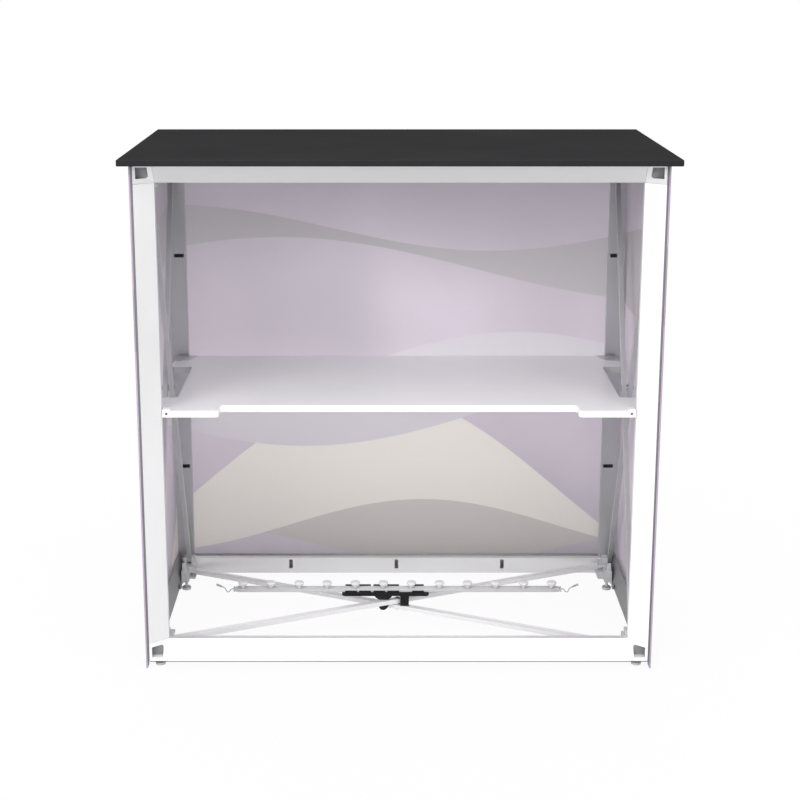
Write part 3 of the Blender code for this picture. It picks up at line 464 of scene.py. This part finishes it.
# %% [markdown]
# ## Frame bars: satin lacquered aluminium
#
# The channel bars are extruded aluminium with a white satin lacquer over the metal. It
# gives the eye a clean white where it faces the light and a cool grey where it mirrors a
# dark flag, with a fine orange-peel skin of about a millimetre. Light and shade are also
# painted into the colour, bar by bar, so there are five shades of the one finish: painted
# light makes the near right post the whitest, and painted shade makes the near left post
# and the near top bar greyer and the far posts and far top bar the greyest.

# %% White lacquered bars
# Each bar: its two tones and how much metal shows through
# The tones are partly painted light and shade: whiter on the near right post, greyer on the near
# left post, the near top bar and the far bars
PAINTED_LIGHT_LACQUER = {"near_right_post": ("#f6f6f7", "#fbfbfc", 0.45),
           "near_left_post": ("#e4e4e5", "#ebebec", 0.45),
           "near_bottom_rail": ("#f4f4f5", "#fbfbfc", 0.78),
           "near_top_rail": ("#cfcfd0", "#d7d7d8", 0.78),
           "far_bottom_rail": ("#f4f4f5", "#fbfbfc", 0.78),
           "far_top_rail": ("#c4c5c6", "#cccdcf", 0.78),
           "far_left_post": ("#c4c5c6", "#cccdcf", 0.78),
           "far_right_post": ("#c4c5c6", "#cccdcf", 0.78)}


def lacquer(pale, paler, metal):
    """Give the satin lacquer of two tones over more or less metal, made once."""
    name = "satin_lacquered_aluminium_" + pale[1:]
    return bpy.data.materials.get(name) or surface(
        name, (pale, paler), 90, 1.4, 0.006, (0.30, 0.37), Metallic=metal)


for node, tones in PAINTED_LIGHT_LACQUER.items():
    rounded(node, 0.5 * MM, [lacquer(*tones)])
print(len(PAINTED_LIGHT_LACQUER), "channel bars")

# %% [markdown]
# The side rails are drawn plates without lacquer: mill-finish aluminium, a duller grey with
# fine lines along its length from the die. A small clip sits on each bottom one.

# %% Grey side rails
DRAWN_ALONG_Y = (1, 0.005, 1)
mill_grey = surface("mill_finish_aluminium", ("#939395", "#a1a1a3"), 1.6, 0.8, 0.008,
                    (0.36, 0.48), DRAWN_ALONG_Y, Metallic=0.55)
SIDE_RAILS = [n for n in nodes if n.endswith("side_rail")]
for node in SIDE_RAILS:
    rounded(node, 0.4 * MM, [mill_grey])
CLIP_PLACE = (0.4694, 0.1125, 0.0225)
CLIP_SIZE = (0.0038, 0.014, 0.009)
clips = [block((sign * CLIP_PLACE[0], *CLIP_PLACE[1:]), CLIP_SIZE, 1.0 * MM, 3)
         for sign in (-1, 1)]
piece("rail_clips", merged(clips), [mill_grey])
print(len(SIDE_RAILS), "side rails")

# %% [markdown]
# ## Corner blocks: moulded ABS
#
# The blocks are moulded in white ABS: a broad soft shine with a faint spark-eroded grain
# from the mould. Painted shade makes the four under the top a shade greyer. The square
# pocket in each one is a recess where shade falls, so its walls get a dark grey finish of
# their own, a painted shade with a rougher shine. A face is in the pocket when all its
# corners lie between two distances from the block's outer corner. The floor of a lower
# pocket catches the light, so it keeps the white.

# %% White mouldings
white_abs = surface("white_moulded_abs", ("#ebebed", "#f4f4f5"), 40, 0.8, 0.006,
                    (0.33, 0.43), Metallic=0.15)
# Painted shade: the blocks under the top get a greyer copy of the white
shaded_abs = surface("white_moulded_abs_painted_shade_under_top", ("#d3d3d4", "#dcdcdd"), 40, 0.8, 0.006,
                     (0.33, 0.43), Metallic=0.15)
# Painted shade: the pocket walls get a dark grey, as shade in the recess
pocket_painted_shade = surface("pocket_painted_shade_abs", ("#77777a", "#8c8c8f"), 7, 0.9, 0.03, (0.6, 0.8))
FRAME_OUT = Vector(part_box("near_right_top_corner")[1])
FRAME_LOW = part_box("near_right_bottom_corner")[0].z
POCKET = (4.7 * MM, 26.1 * MM)


def in_pocket(face, top):
    """Tell whether a face of a corner block is a wall of its pocket."""
    for vert in face.verts:
        across = FRAME_OUT.x - abs(vert.co.x)
        up = FRAME_OUT.z - vert.co.z if top else vert.co.z - FRAME_LOW
        if not (POCKET[0] < across < POCKET[1] and POCKET[0] < up < POCKET[1]):
            return False
    return top or face.normal.z < 0.5


CORNERS = [n for n in nodes if n.endswith("_corner")]
for node in CORNERS:
    top = "top" in node
    rounded(node, 0.5 * MM, [shaded_abs if top else white_abs, pocket_painted_shade],
            second=lambda face: in_pocket(face, top))
print(len(CORNERS), "corner blocks")

# %% [markdown]
# ## Crossed bars and rivets
#
# Flat-oval aluminium tubes cross in pairs and turn on a rivet. Anodising leaves the metal's
# own silver with a soft, slightly cloudy sheen. The pair near the floor is lacquered
# instead, a less metallic white, and a grey line of painted shade runs along its rounded
# upper edges. The rivets are zinc-plated steel, bright and a
# little blotchy, turned from half a profile that is mirrored end for end.

# %% Crossed bars and rivets
silver_tube = surface("anodised_aluminium", ("#c4c5c6", "#cfd0d1"), 40, 0.9, 0.004,
                      (0.32, 0.39), Metallic=0.7)
white_tube = surface("lacquered_aluminium_tube", ("#ebebec", "#f0f0f1"), 60, 1.4, 0.0015,
                     (0.30, 0.33), Metallic=0.25)
# Painted shade: a grey line on the rounded upper edges of the floor bars
tube_edge_shade = surface("painted_shade_on_tube_edge", ("#949496", "#9c9c9e"), 60, 1.4, 0.0015,
                   (0.34, 0.38), Metallic=0.35)
steel = surface("zinc_plated_steel", ("#b4b6b9", "#c8cacc"), 3, 0.6, 0.004,
                (0.22, 0.40), Metallic=1.0)
TUBE_ROUND = 2.2 * MM
CROSSED = [n for n in nodes if n.endswith("scissor_bar")]
for node in CROSSED:
    if "bottom" in node:
        # Faces on the rounded upper edges take the painted shade line
        rounded(node, TUBE_ROUND, [white_tube, tube_edge_shade], 4,
                second=lambda face: 0.05 < face.normal.z < 0.97)
    else:
        rounded(node, TUBE_ROUND, [silver_tube], 4)

RIVET = [(0, 13.7), (2.2, 13.6), (4.2, 13.0), (5.6, 12.1), (6.2, 11.55), (6.2, 11.5),
         (2.5, 11.5), (2.5, 1.5), (6.2, 1.4), (6.3, 1.2)]
WHOLE_RIVET = RIVET + [(r, -z) for r, z in reversed(RIVET)]
for node in [n for n in nodes if n.endswith("_rivet")]:
    low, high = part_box(node)
    turn = Matrix.Translation((low + high) / 2)
    if "left" in node or "right" in node:
        turn = turn @ Matrix.Rotation(math.radians(90), 4, "Y")
    piece(node + "_piece", turned(WHOLE_RIVET, turn), [steel],
          replaces=[node])
print(len(CROSSED), "crossed bars")

# %% [markdown]
# ## Hubs
#
# Each hub of the cage is moulded in glass-filled nylon, a matt pale grey in which the
# fibres leave a mottled, slightly rough skin. It carries a cheek plate, wider at its foot,
# held by two small screws. Hubs come in mirrored places, so one outline is flipped by the
# sign of each side, and heights are mirrored about the middle of the frame.

# %% Hubs
grey_nylon = surface("glass_filled_nylon", ("#bdbec0", "#cecfd1"), 12, 0.5, 0.01, (0.44, 0.56))
CHEEK = [(0.4562, 0.0195), (0.4718, 0.0195), (0.4692, 0.0640), (0.4620, 0.0640)]
CHEEK_THICKNESS = 3 * MM
CHEEK_BACK = 0.1428
CHEEK_FRONT = CHEEK_BACK - CHEEK_THICKNESS
CHEEK_SCREW_X = 0.4656
CHEEK_SCREWS = (0.0377, 0.0507)
MIDDLE = 0.50262


def level_with(height, bottom):
    """Give a height at the bottom of the frame, or the same place mirrored to its top."""
    return height if bottom else 2 * MIDDLE - height


HUBS = [n for n in nodes if n.endswith("_hub")]
for node in HUBS:
    rounded(node, 0.5 * MM, [grey_nylon])
    sx = -1 if "left" in node else 1
    sy = -1 if "near" in node else 1
    bottom = "bottom" in node
    outline = [(sx * x, level_with(z, bottom)) for x, z in CHEEK]
    stand = Matrix.Translation((0, CHEEK_BACK if sy > 0 else -CHEEK_FRONT, 0)) @ TO_VIEWER
    heads = []
    for z in CHEEK_SCREWS:
        spot = (sx * CHEEK_SCREW_X, sy * CHEEK_FRONT, level_with(z, bottom))
        facing = TO_VIEWER if sy > 0 else TO_VIEWER.inverted()
        heads.append(pan_head(1.7, 0.8, Matrix.Translation(spot) @ facing))
    piece(node + "_cheek", plate(outline, CHEEK_THICKNESS, stand, 0.6 * MM), [grey_nylon])
    piece(node + "_screws", merged(heads), [steel])
print(len(HUBS), "hubs")

# %% [markdown]
# ## Levelling feet
#
# A foot is a moulded dish on a threaded stem, and screws in and out. Polypropylene looks
# waxy and pale, and the dish's shoulder gets a darker, matt ring of painted shade. The thread
# is real geometry: its profile goes in and out between two radii. A true screw would climb as
# it turns, which nobody sees on a stem of 6 mm, so plain rings do. Each foot rides on a body
# of its own.

# %% Feet
foot_plastic = surface("moulded_polypropylene", ("#c4c4c6", "#d6d6d8"), 6, 0.8, 0.006,
                       (0.4, 0.5))
# Painted shade: a darker ring on the dish's shoulder
foot_painted_shade = surface("foot_shoulder_painted_shade", ("#98989a", "#a6a6a8"), 2, 0.5, 0.02, (0.55, 0.7))
THREAD = [(3.0 if turn % 2 else 2.55, 30.9 - 0.55 * turn) for turn in range(41)]
FOOT = ([(0, 31.5), (2.4, 31.5)] + THREAD
        + [(4.2, 8.2), (4.4, 7.5), (7.6, 6.9), (8.6, 6.2), (8.9, 5.4), (9.5, 5.3), (9.7, 4.9),
           (9.7, 1.4), (9.4, 0.6), (8.5, 0.0), (0, 0.0)])
SHADE_RING_HEIGHTS = (5.35 * MM, 8.3 * MM)
FEET = [n for n in nodes if n.endswith("_foot")]
for node in FEET:
    low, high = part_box(node)
    middle = (low + high) / 2
    cage = turned(FOOT, Matrix.Translation((middle.x, middle.y, low.z)), 40)
    # Faces in the ring's band of height take the painted shade
    for face in cage.faces:
        face.material_index = int(SHADE_RING_HEIGHTS[0] < face.calc_center_median().z < SHADE_RING_HEIGHTS[1])
    body = frame["nodes"][node]["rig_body"]
    piece(node + "_piece", cage, [foot_plastic, foot_painted_shade], body, [node])
print(len(FEET), "feet")

# %% [markdown]
# ## Countertop
#
# The top is board with a black melamine laminate, which is dead matt: it mirrors nothing,
# so its specular level is zero, and a fine pebble grain keeps it from looking like paper.
# Its rim is a separate strip of edging, a shade smoother. The faces that don't lie flat
# are the rim, so they take the second finish.

# %% Countertop
black_laminate = surface("black_laminate", ("#2d2d2e", "#343435"), 140, 0.9, 0.015,
                         (0.68, 0.82), Specular_IOR_Level=0.0)
black_edging = surface("black_abs_edging", ("#242425", "#2a2a2b"), 60, 0.6, 0.006,
                       (0.5, 0.62), Specular_IOR_Level=0.1)
rounded("countertop", 0.4 * MM, [black_laminate, black_edging],
        second=lambda face: abs(face.normal.z) < 0.5)

# %% [markdown]
# ## Shelf and its fixings
#
# The shelf is board with a pale silver laminate, shiny enough to show a blurred picture of
# the fabric behind it, with faint smears where the shine is duller. It hangs on brackets of
# powder-coated steel, whose orange peel is finer than the lacquer's: white near the viewer,
# while the brackets behind get a grey copy of it as painted shade. The board's far edges
# have a plain grey edging, which is duller. Blackened screws close the near ends.

# %% Shelf and brackets
silver_laminate = surface("silver_laminate", ("#f6f6f7", "#fafafb"), 110, 3.0, 0.0012,
                          (0.20, 0.24), Metallic=0.12)
powder_coat = surface("white_powder_coat", ("#ececee", "#f5f5f6"), 30, 0.7, 0.01,
                      (0.34, 0.44), Metallic=0.1)
grey_edging = surface("grey_abs_edging", ("#a4a4a6", "#aeaeb0"), 60, 0.6, 0.006, (0.45, 0.55))
rounded("shelf", 0.8 * MM, [silver_laminate, grey_edging],
        second=lambda face: abs(face.normal.z) < 0.5 and face.calc_center_median().y > 0)
# Painted shade: the brackets behind get a grey copy of the white coat
bracket_painted_shade_coat = surface("powder_coat_painted_shade", ("#b4b4b6", "#bebec0"), 30, 0.7, 0.01,
                    (0.34, 0.44), Metallic=0.1)
for node in [n for n in nodes if n.endswith("bracket")]:
    rounded(node, 0.4 * MM, [powder_coat if "near" in node else bracket_painted_shade_coat])

# %% Tabs and screws on the shelf
SHELF_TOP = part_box("shelf")[1].z
END_SCREW = (0.4400, -0.2175, 0.5131)
TOP_SCREW = (0.4642, 0.155)
TAB_THICKNESS = 1.4 * MM
TAB = [(0.4732, 0.1925), (0.4300, 0.1925), (0.4380, 0.1700), (0.4470, 0.1510),
       (0.4732, 0.1480)]
black_steel = surface("blackened_steel", ("#4a4a4c", "#5c5c5e"), 2, 0.5, 0.004,
                      (0.35, 0.5), Metallic=0.5)
heads, ends, tabs = [], [], []
for sx in (-1, 1):
    tabs.append(plate([(sx * x, y) for x, y in TAB], TAB_THICKNESS,
                      Matrix.Translation((0, 0, SHELF_TOP))))
    end_screw = Matrix.Translation((sx * END_SCREW[0], *END_SCREW[1:])) @ TO_VIEWER
    ends.append(pan_head(2.3, 1.0, end_screw))
    for sy in (-1, 1):
        rest = SHELF_TOP + (TAB_THICKNESS if sy > 0 else 0)
        spot = (sx * TOP_SCREW[0], sy * TOP_SCREW[1], rest)
        heads.append(pan_head(3.6, 1.6, Matrix.Translation(spot)))
piece("shelf_tabs", merged(tabs), [silver_tube])
piece("shelf_screws", merged(heads), [steel])
piece("shelf_end_screws", merged(ends), [black_steel])
print("shelf top at", SHELF_TOP)

# %% [markdown]
# ## Row of lights
#
# Twelve small lenses stand on a low ledge of a moulded polycarbonate strip, with a wall
# behind them. Diffusing polycarbonate is milky and grey when it is off. The lenses are
# frosted acrylic: cones that widen upwards under a flat cap. At each end, ribbed couplings
# take the leads, and four small screws sit on top of the wall. The strip's section is drawn
# once, then thickened along its length.

# %% Strip and lenses
ALONG_X = Matrix(((0, 0, 1, 0), (1, 0, 0, 0), (0, 1, 0, 0), (0, 0, 0, 1)))
SECTION = [(-6.0, 0.0), (6.0, 0.0), (6.0, 9.0), (2.6, 9.0), (2.0, 4.6), (-6.0, 4.0)]
STRIP_LENGTH = 0.670
LENS_PITCH = 0.0587
LENSES = 12
LENS = [(0, 17.4), (5.5, 17.3), (8.6, 16.7), (9.7, 15.4), (9.8, 13.6), (9.2, 12.3), (1.2, 0.9),
        (0.6, 0.4), (0, 0.4)]
strip_plastic = surface("diffusing_polycarbonate", ("#bcbcbd", "#c4c4c5"), 25, 0.7, 0.0015,
                        (0.31, 0.35))
frosted = surface("frosted_acrylic", ("#d9dad9", "#e3e3e2"), 4, 0.4, 0.006, (0.4, 0.5))
strip = plate([(y * MM, z * MM) for y, z in SECTION], STRIP_LENGTH,
              Matrix.Translation((-STRIP_LENGTH / 2, 0, LIGHT_LOW)) @ ALONG_X, 0.4 * MM)
piece("light_strip", strip, [strip_plastic], replaces=["light_bar"])
lenses = []
for number in range(LENSES):
    x = (number - (LENSES - 1) / 2) * LENS_PITCH
    lenses.append(turned(LENS, Matrix.Translation((x, -1.5 * MM, LIGHT_LOW + 4.4 * MM))))
piece("light_lenses", merged(lenses), [frosted])
print("lights in the row:", LENSES)

# %% Couplings
RIB = (3.4 * MM, 11.0 * MM, 8.0 * MM)
NECK = (3.4 * MM, 9.0 * MM, 6.0 * MM)
OUTER_RIB = 0.3414
RIB_STEP = 2.4 * MM
SCREWED_GAPS = (1, 4, 7, 10)
blocks = []
for sign in (-1, 1):
    for step in range(4):
        middle = (sign * (OUTER_RIB - step * RIB_STEP), 0, LIGHT_LOW + 4.2 * MM)
        blocks.append(block(middle, NECK if step % 2 else RIB, 0.4 * MM))
for number in SCREWED_GAPS:
    x = (number - LENSES / 2 + 1) * LENS_PITCH
    blocks.append(pan_head(1.2, 0.9, Matrix.Translation((x, 4.3 * MM, LIGHT_LOW + 9 * MM))))
piece("light_couplings", merged(blocks), [strip_plastic])
print("ribs and screws:", len(blocks))

# %% [markdown]
# The clip that carries the lights is moulded in black nylon, a deep black with a soft
# shine. It has a flat sole with round ends, and a web that widens its left leg. The sole is
# drawn as four corners, which a bevel of the points alone makes round.

# %% Clip
black_nylon = surface("black_moulded_nylon", ("#0b0b0c", "#121213"), 5, 0.6, 0.01,
                      (0.36, 0.5), Specular_IOR_Level=0.3)
rounded("light_clip", 0.5 * MM, [black_nylon])
GUSSET = [(-0.0470, 0.0545), (-0.0118, 0.0545), (-0.0118, 0.0515), (-0.0150, 0.0490),
          (-0.0184, 0.0452), (-0.0384, 0.0452), (-0.0440, 0.0490), (-0.0470, 0.0515)]
SOLE = ((-0.1155, -0.0110), (0.0655, -0.0110), (0.0655, 0.0110), (-0.1155, 0.0110))
SOLE_LOW = 0.0533
gusset = plate(GUSSET, 3.6 * MM, Matrix.Translation((0, -7.0 * MM, 0)) @ TO_VIEWER)
cage = bmesh.new()
verts = [cage.verts.new((x, y, 0.0)) for x, y in SOLE]
bmesh.ops.contextual_create(cage, geom=verts)
bmesh.ops.bevel(cage, geom=cage.verts[:], offset=7 * MM, offset_type="OFFSET",
                affect="VERTICES", segments=6, profile=0.5, material=-1)
loop = [tuple(vert.co.xy) for vert in cage.faces[:][0].verts]
cage.free()
sole = plate(loop, 2.4 * MM, Matrix.Translation((0, 0, SOLE_LOW)), 0.5 * MM)
piece("clip_gusset", merged([gusset, sole]), [black_nylon])
print("points round the clip's sole:", len(loop))

# %% [markdown]
# ## Printed fabric
#
# The graphic is a knitted polyester, printed on its outer side and stretched round three
# sides, so from the staff side one sees the paler back of the print with daylight coming
# through it. The print here is a plain pattern of its own: mauve clouds crossed by cream
# and grey ribbons. Each ribbon is the space between two sine lines over the cloth, which is
# laid out flat in metres by its UV map, so the lines keep their shape on all three sides.

# %% Waves for the print
# Each wave: its height in metres, its swing, its pace along the cloth and where it starts
WAVES = ((0.200, 0.220, 3.93, -2.084), (0.115, 0.060, 5.3, 2.4), (0.405, 0.105, 3.4, 2.1),
         (0.470, 0.090, 4.1, 2.8), (0.060, 0.045, 6.1, 4.4), (0.700, 0.070, 3.7, 5.2),
         (0.790, 0.050, 4.6, 5.6))
# Each ribbon: the wave below it, the wave above it and its ink
RIBBONS = ((1, 0, 0), (2, 3, 1), (5, 6, 2), (4, 1, 3))
cloth_low, cloth_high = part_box("fabric_graphic")
HALF_CLOTH = (cloth_high.z - cloth_low.z) / 2


def above_wave(tree, across, up, height, swing, pace, start):
    """Give 1 above a sine line on the cloth and 0 below it, with a soft edge of 2 mm."""
    turn = add(tree, "Math", {"operation": "MULTIPLY_ADD"}, {1: pace, 2: start}, {0: across})
    wave = add(tree, "Math", {"operation": "SINE"}, {}, {0: turn.outputs[0]})
    line = add(tree, "Math", {"operation": "MULTIPLY_ADD"}, {1: swing, 2: height},
               {0: wave.outputs[0]})
    over = add(tree, "Math", {"operation": "SUBTRACT"}, {}, {0: up, 1: line.outputs[0]})
    return add(tree, "MapRange", {"interpolation_type": "SMOOTHSTEP"},
               {"From Min": -1 * MM, "From Max": 1 * MM}, {"Value": over.outputs[0]}).outputs[0]


print("waves:", len(WAVES), "ribbons:", len(RIBBONS))

# %% [markdown]
# The knit's loops are drawn 2 mm apart, twice the real gauge, so that they show. A row of
# stitches runs 15 mm inside the upper and lower edge, where the cloth is turned in and
# sewn: a stitch and its gap take 5 mm, also more than real ones. Part of the light goes
# through: a Translucent shader mixed in does that, and a pale colour for it on the outer
# layer keeps the print from tinting the light twice. The hem's tones lie between those of
# the two sides, and less light goes through it, because it is several layers thick.

# %% Knit and print
CLOUD_SCALE = 2.3
DUSK_SCALE = 1.3
KNIT_SCALE = 157.0
SEAM = 15 * MM
THREAD_HALF = 0.7 * MM
STITCH = 5 * MM


def stitches(tree, split):
    """Give 1 on the two rows of stitches along the cloth, and 0 beside them."""
    off = add(tree, "Math", {"operation": "SUBTRACT"}, {1: cloth_low.z + HALF_CLOTH},
              {0: split.outputs["Y"]})
    away = add(tree, "Math", {"operation": "ABSOLUTE"}, {}, {0: off.outputs[0]})
    row = add(tree, "Math", {"operation": "COMPARE"}, {1: HALF_CLOTH - SEAM, 2: THREAD_HALF},
              {0: away.outputs[0]})
    dash = add(tree, "Math", {"operation": "MULTIPLY"}, {1: math.tau / STITCH},
               {0: split.outputs["X"]})
    wave = add(tree, "Math", {"operation": "SINE"}, {}, {0: dash.outputs[0]})
    on = add(tree, "Math", {"operation": "GREATER_THAN"}, {1: -0.4}, {0: wave.outputs[0]})
    return add(tree, "Math", {"operation": "MULTIPLY"}, {},
               {0: row.outputs[0], 1: on.outputs[0]}).outputs[0]


def printed_knit(name, clouds, ribbons, thread, through_share, glow=None):
    """Make the cloth's material: the print, the knit's loops and the light through it."""
    material, tree, shader = new_material(name, Roughness=0.85, Sheen_Weight=0.12)
    flat = add(tree, "UVMap", {"uv_map": "cut"}).outputs["UV"]
    split = add(tree, "SeparateXYZ", {}, {}, {0: flat})

    # Clouds about 430 mm across between two tones, and wider patches of a darker one
    soft = add(tree, "TexNoise", {}, {"Scale": CLOUD_SCALE, "Detail": 4.0, "Distortion": 0.5},
               {"Vector": flat})
    puff = add(tree, "MapRange", {}, {"From Min": 0.35, "From Max": 0.65},
               {"Value": soft.outputs["Fac"]})
    base = add(tree, "Mix", {"data_type": "RGBA"},
               {6: colour(clouds[0]), 7: colour(clouds[1])}, {0: puff.outputs[0]})
    wide = add(tree, "TexNoise", {}, {"Scale": DUSK_SCALE, "Detail": 2.0}, {"Vector": flat})
    dusk = add(tree, "MapRange", {"interpolation_type": "SMOOTHSTEP"},
               {"From Min": 0.48, "From Max": 0.68, "To Max": 0.8}, {"Value": wide.outputs["Fac"]})
    tone = add(tree, "Mix", {"data_type": "RGBA"}, {7: colour(clouds[2])},
               {0: dusk.outputs[0], 6: base.outputs[2]})

    # Ribbons: above one line and below another
    lines = [above_wave(tree, split.outputs["X"], split.outputs["Y"], *wave) for wave in WAVES]
    for low_line, high_line, ink in RIBBONS:
        below = add(tree, "Math", {"operation": "SUBTRACT"}, {0: 1.0}, {1: lines[high_line]})
        band = add(tree, "Math", {"operation": "MULTIPLY"}, {},
                   {0: lines[low_line], 1: below.outputs[0]})
        tone = add(tree, "Mix", {"data_type": "RGBA"}, {7: colour(ribbons[ink])},
                   {0: band.outputs[0], 6: tone.outputs[2]})

    # Loops: a wave texture repeats every tau / (20 * scale), here 2 mm
    courses = add(tree, "TexWave", {"bands_direction": "X"},
                  {"Scale": KNIT_SCALE, "Distortion": 0.6}, {"Vector": flat})
    wales = add(tree, "TexWave", {"bands_direction": "Y"},
                {"Scale": KNIT_SCALE, "Distortion": 0.6}, {"Vector": flat})
    loops = add(tree, "Math", {"operation": "MULTIPLY"}, {},
                {0: courses.outputs["Fac"], 1: wales.outputs["Fac"]})
    shade = add(tree, "MapRange", {}, {"To Max": 0.08}, {"Value": loops.outputs[0]})
    sewn = stitches(tree, split)
    dark = add(tree, "Math", {"operation": "MULTIPLY_ADD"}, {1: 0.45},
               {0: sewn, 2: shade.outputs[0]})
    tone = add(tree, "Mix", {"data_type": "RGBA"}, {7: colour(thread)},
               {0: dark.outputs[0], 6: tone.outputs[2]})
    height = add(tree, "Math", {"operation": "SUBTRACT"}, {}, {0: loops.outputs[0], 1: sewn})
    bump = add(tree, "Bump", {}, {"Strength": 0.3, "Distance": 0.25 * MM},
               {"Height": height.outputs[0]})
    tree.links.new(tone.outputs[2], shader.inputs["Base Color"])
    tree.links.new(bump.outputs[0], shader.inputs["Normal"])

    # The light through the cloth
    through = add(tree, "BsdfTranslucent")
    if glow:
        through.inputs["Color"].default_value = colour(glow)
    else:
        tree.links.new(tone.outputs[2], through.inputs["Color"])
    mixed = add(tree, "MixShader", {}, {0: through_share},
                {1: shader.outputs[0], 2: through.outputs[0]})
    tree.links.new(mixed.outputs[0], tree.nodes["Material Output"].inputs["Surface"])
    return material


print_back = printed_knit("printed_knit_back", ("#dcd5dd", "#e5dee7", "#cec8cf"),
                          ("#f5f2ed", "#e4e1e5", "#d0ccd0", "#ddd8d6"), "#bdb6be", 0.5)
print_face = printed_knit("printed_knit_face", ("#a793b0", "#b9a6c2", "#8d7d98"),
                          ("#efe8da", "#c9bfce", "#8f8792", "#bfb4ae"), "#8a7c93", 0.6, "#f5f3f6")
print_hem = printed_knit("printed_knit_hem", ("#c3b1ca", "#cdbcd4", "#b9a8c1"),
                         ("#d8cdd9", "#cfc2d4", "#b3a7b9", "#c5b8c8"), "#9d8fa5", 0.3)
print("cloth finishes:", print_back.name, print_face.name, print_hem.name)

# %% [markdown]
# The cloth is cut as one long strip. A line of points runs along its plan, the corner
# points get a small round, and the line is drawn up to the cloth's height. Solidify gives
# it its thickness inwards, and the inner layer the next material. A hem, a little more than
# twice as thick, closes each free edge. The flat layout treats the last strip before a far
# corner as part of the far side, so the print makes a step of at most 15 mm there.

# %% Cloth and hems
CLOTH = 1.2 * MM
HEM = 2.9 * MM
HEM_DEPTH = 20 * MM
HEM_LAP = 0.2 * MM
CORNER_POINT = 15 * MM
BACK_STARTS = 12 * MM
depth = cloth_high.y - cloth_low.y
width = cloth_high.x - cloth_low.x


def lay_out(cage):
    """Give every corner of a face its place on the flat cloth, in metres."""
    layer = cage.loops.layers.uv.new("cut")
    for face in cage.faces:
        for loop in face.loops:
            x, y, z = loop.vert.co
            if face.calc_center_median().y < cloth_high.y - BACK_STARTS:
                along = (y - cloth_low.y) if x < 0 else depth + width + (cloth_high.y - y)
            else:
                along = depth + (x - cloth_low.x)
            loop[layer].uv = (along, z)


cage = bmesh.new()
plan = [(cloth_low.x, cloth_low.y), (cloth_low.x, cloth_high.y - CORNER_POINT),
        (cloth_low.x, cloth_high.y), (cloth_high.x, cloth_high.y),
        (cloth_high.x, cloth_high.y - CORNER_POINT), (cloth_high.x, cloth_low.y)]
verts = [cage.verts.new((x, y, cloth_low.z)) for x, y in plan]
for pair in zip(verts, verts[1:]):
    cage.edges.new(pair)
bmesh.ops.bevel(cage, geom=[verts[2], verts[3]], offset=3 * MM, offset_type="OFFSET",
                affect="VERTICES", segments=6, profile=0.5, material=-1)
raised = bmesh.ops.extrude_edge_only(cage, edges=cage.edges[:])
bmesh.ops.translate(cage, vec=(0, 0, cloth_high.z - cloth_low.z),
                    verts=[v for v in raised["geom"] if isinstance(v, bmesh.types.BMVert)])
bmesh.ops.recalc_face_normals(cage, faces=cage.faces)
if sum(face.normal.y for face in cage.faces) < 0:
    bmesh.ops.reverse_faces(cage, faces=cage.faces)
lay_out(cage)
smooth(cage)
fabric = piece("fabric_wrap", cage, [print_face, print_back],
               replaces=["fabric_graphic"])
thick = fabric.modifiers.new("cloth", "SOLIDIFY")
thick.thickness = CLOTH
thick.offset = -1
thick.material_offset = 1

hems = []
for x in (cloth_low.x + HEM / 2 + 0.05 * MM, cloth_high.x - HEM / 2 - 0.05 * MM):
    cage = block((x, cloth_low.y + HEM_DEPTH / 2 - HEM_LAP, cloth_low.z + HALF_CLOTH),
                 (HEM, HEM_DEPTH, cloth_high.z - cloth_low.z), 1.2 * MM, 4)
    lay_out(cage)
    hems.append(cage)
hem = piece("fabric_hems", merged(hems), [print_hem])

# %% [markdown]
# Between cloth and frame lies nylon hook tape, a dark grey fuzz that swallows light. One more
# dark strip runs under the near rail as a painted shadow line below the rail. The tape at the
# far floor rail is the paler loop side, and it is also painted shade in the gap between that
# rail and the cloth.

# %% Tape
# Each strip: its middle and its size, in metres
hook_tape_and_painted_shade = surface("nylon_hook_tape", ("#5c5c5e", "#7c7c7e"), 1.2, 1.2, 0.24, (0.85, 0.95))
loop_tape_and_painted_shade = surface("nylon_loop_tape", ("#98989a", "#aeaeb0"), 1.6, 1.2, 0.20, (0.85, 0.95))
DARK_STRIPS = (((-0.48705, -0.2261, 0.5026), (0.0034, 0.020, 0.964)),
               ((0.48705, -0.2261, 0.5026), (0.0034, 0.020, 0.964)),
               ((0, 0.23865, 0.9690), (0.960, 0.0040, 0.036)),
               # The last dark strip, under the near rail, is a painted shadow line
               ((0, -0.2297, 0.0161), (0.9700, 0.0114, 0.0026)))
# This pale strip is loop tape and also painted shade in the gap at the far floor rail
PALE_STRIPS = (((0, 0.23865, 0.0325), (0.960, 0.0040, 0.029)),)
for name, finish, strips in (("hook_tape_and_painted_shade", hook_tape_and_painted_shade, DARK_STRIPS),
                             ("loop_tape_and_painted_shade", loop_tape_and_painted_shade, PALE_STRIPS)):
    tapes = [block(middle, size, 0.6 * MM) for middle, size in strips]
    piece(name, merged(tapes), [finish])
    print(name, "strips:", len(strips))
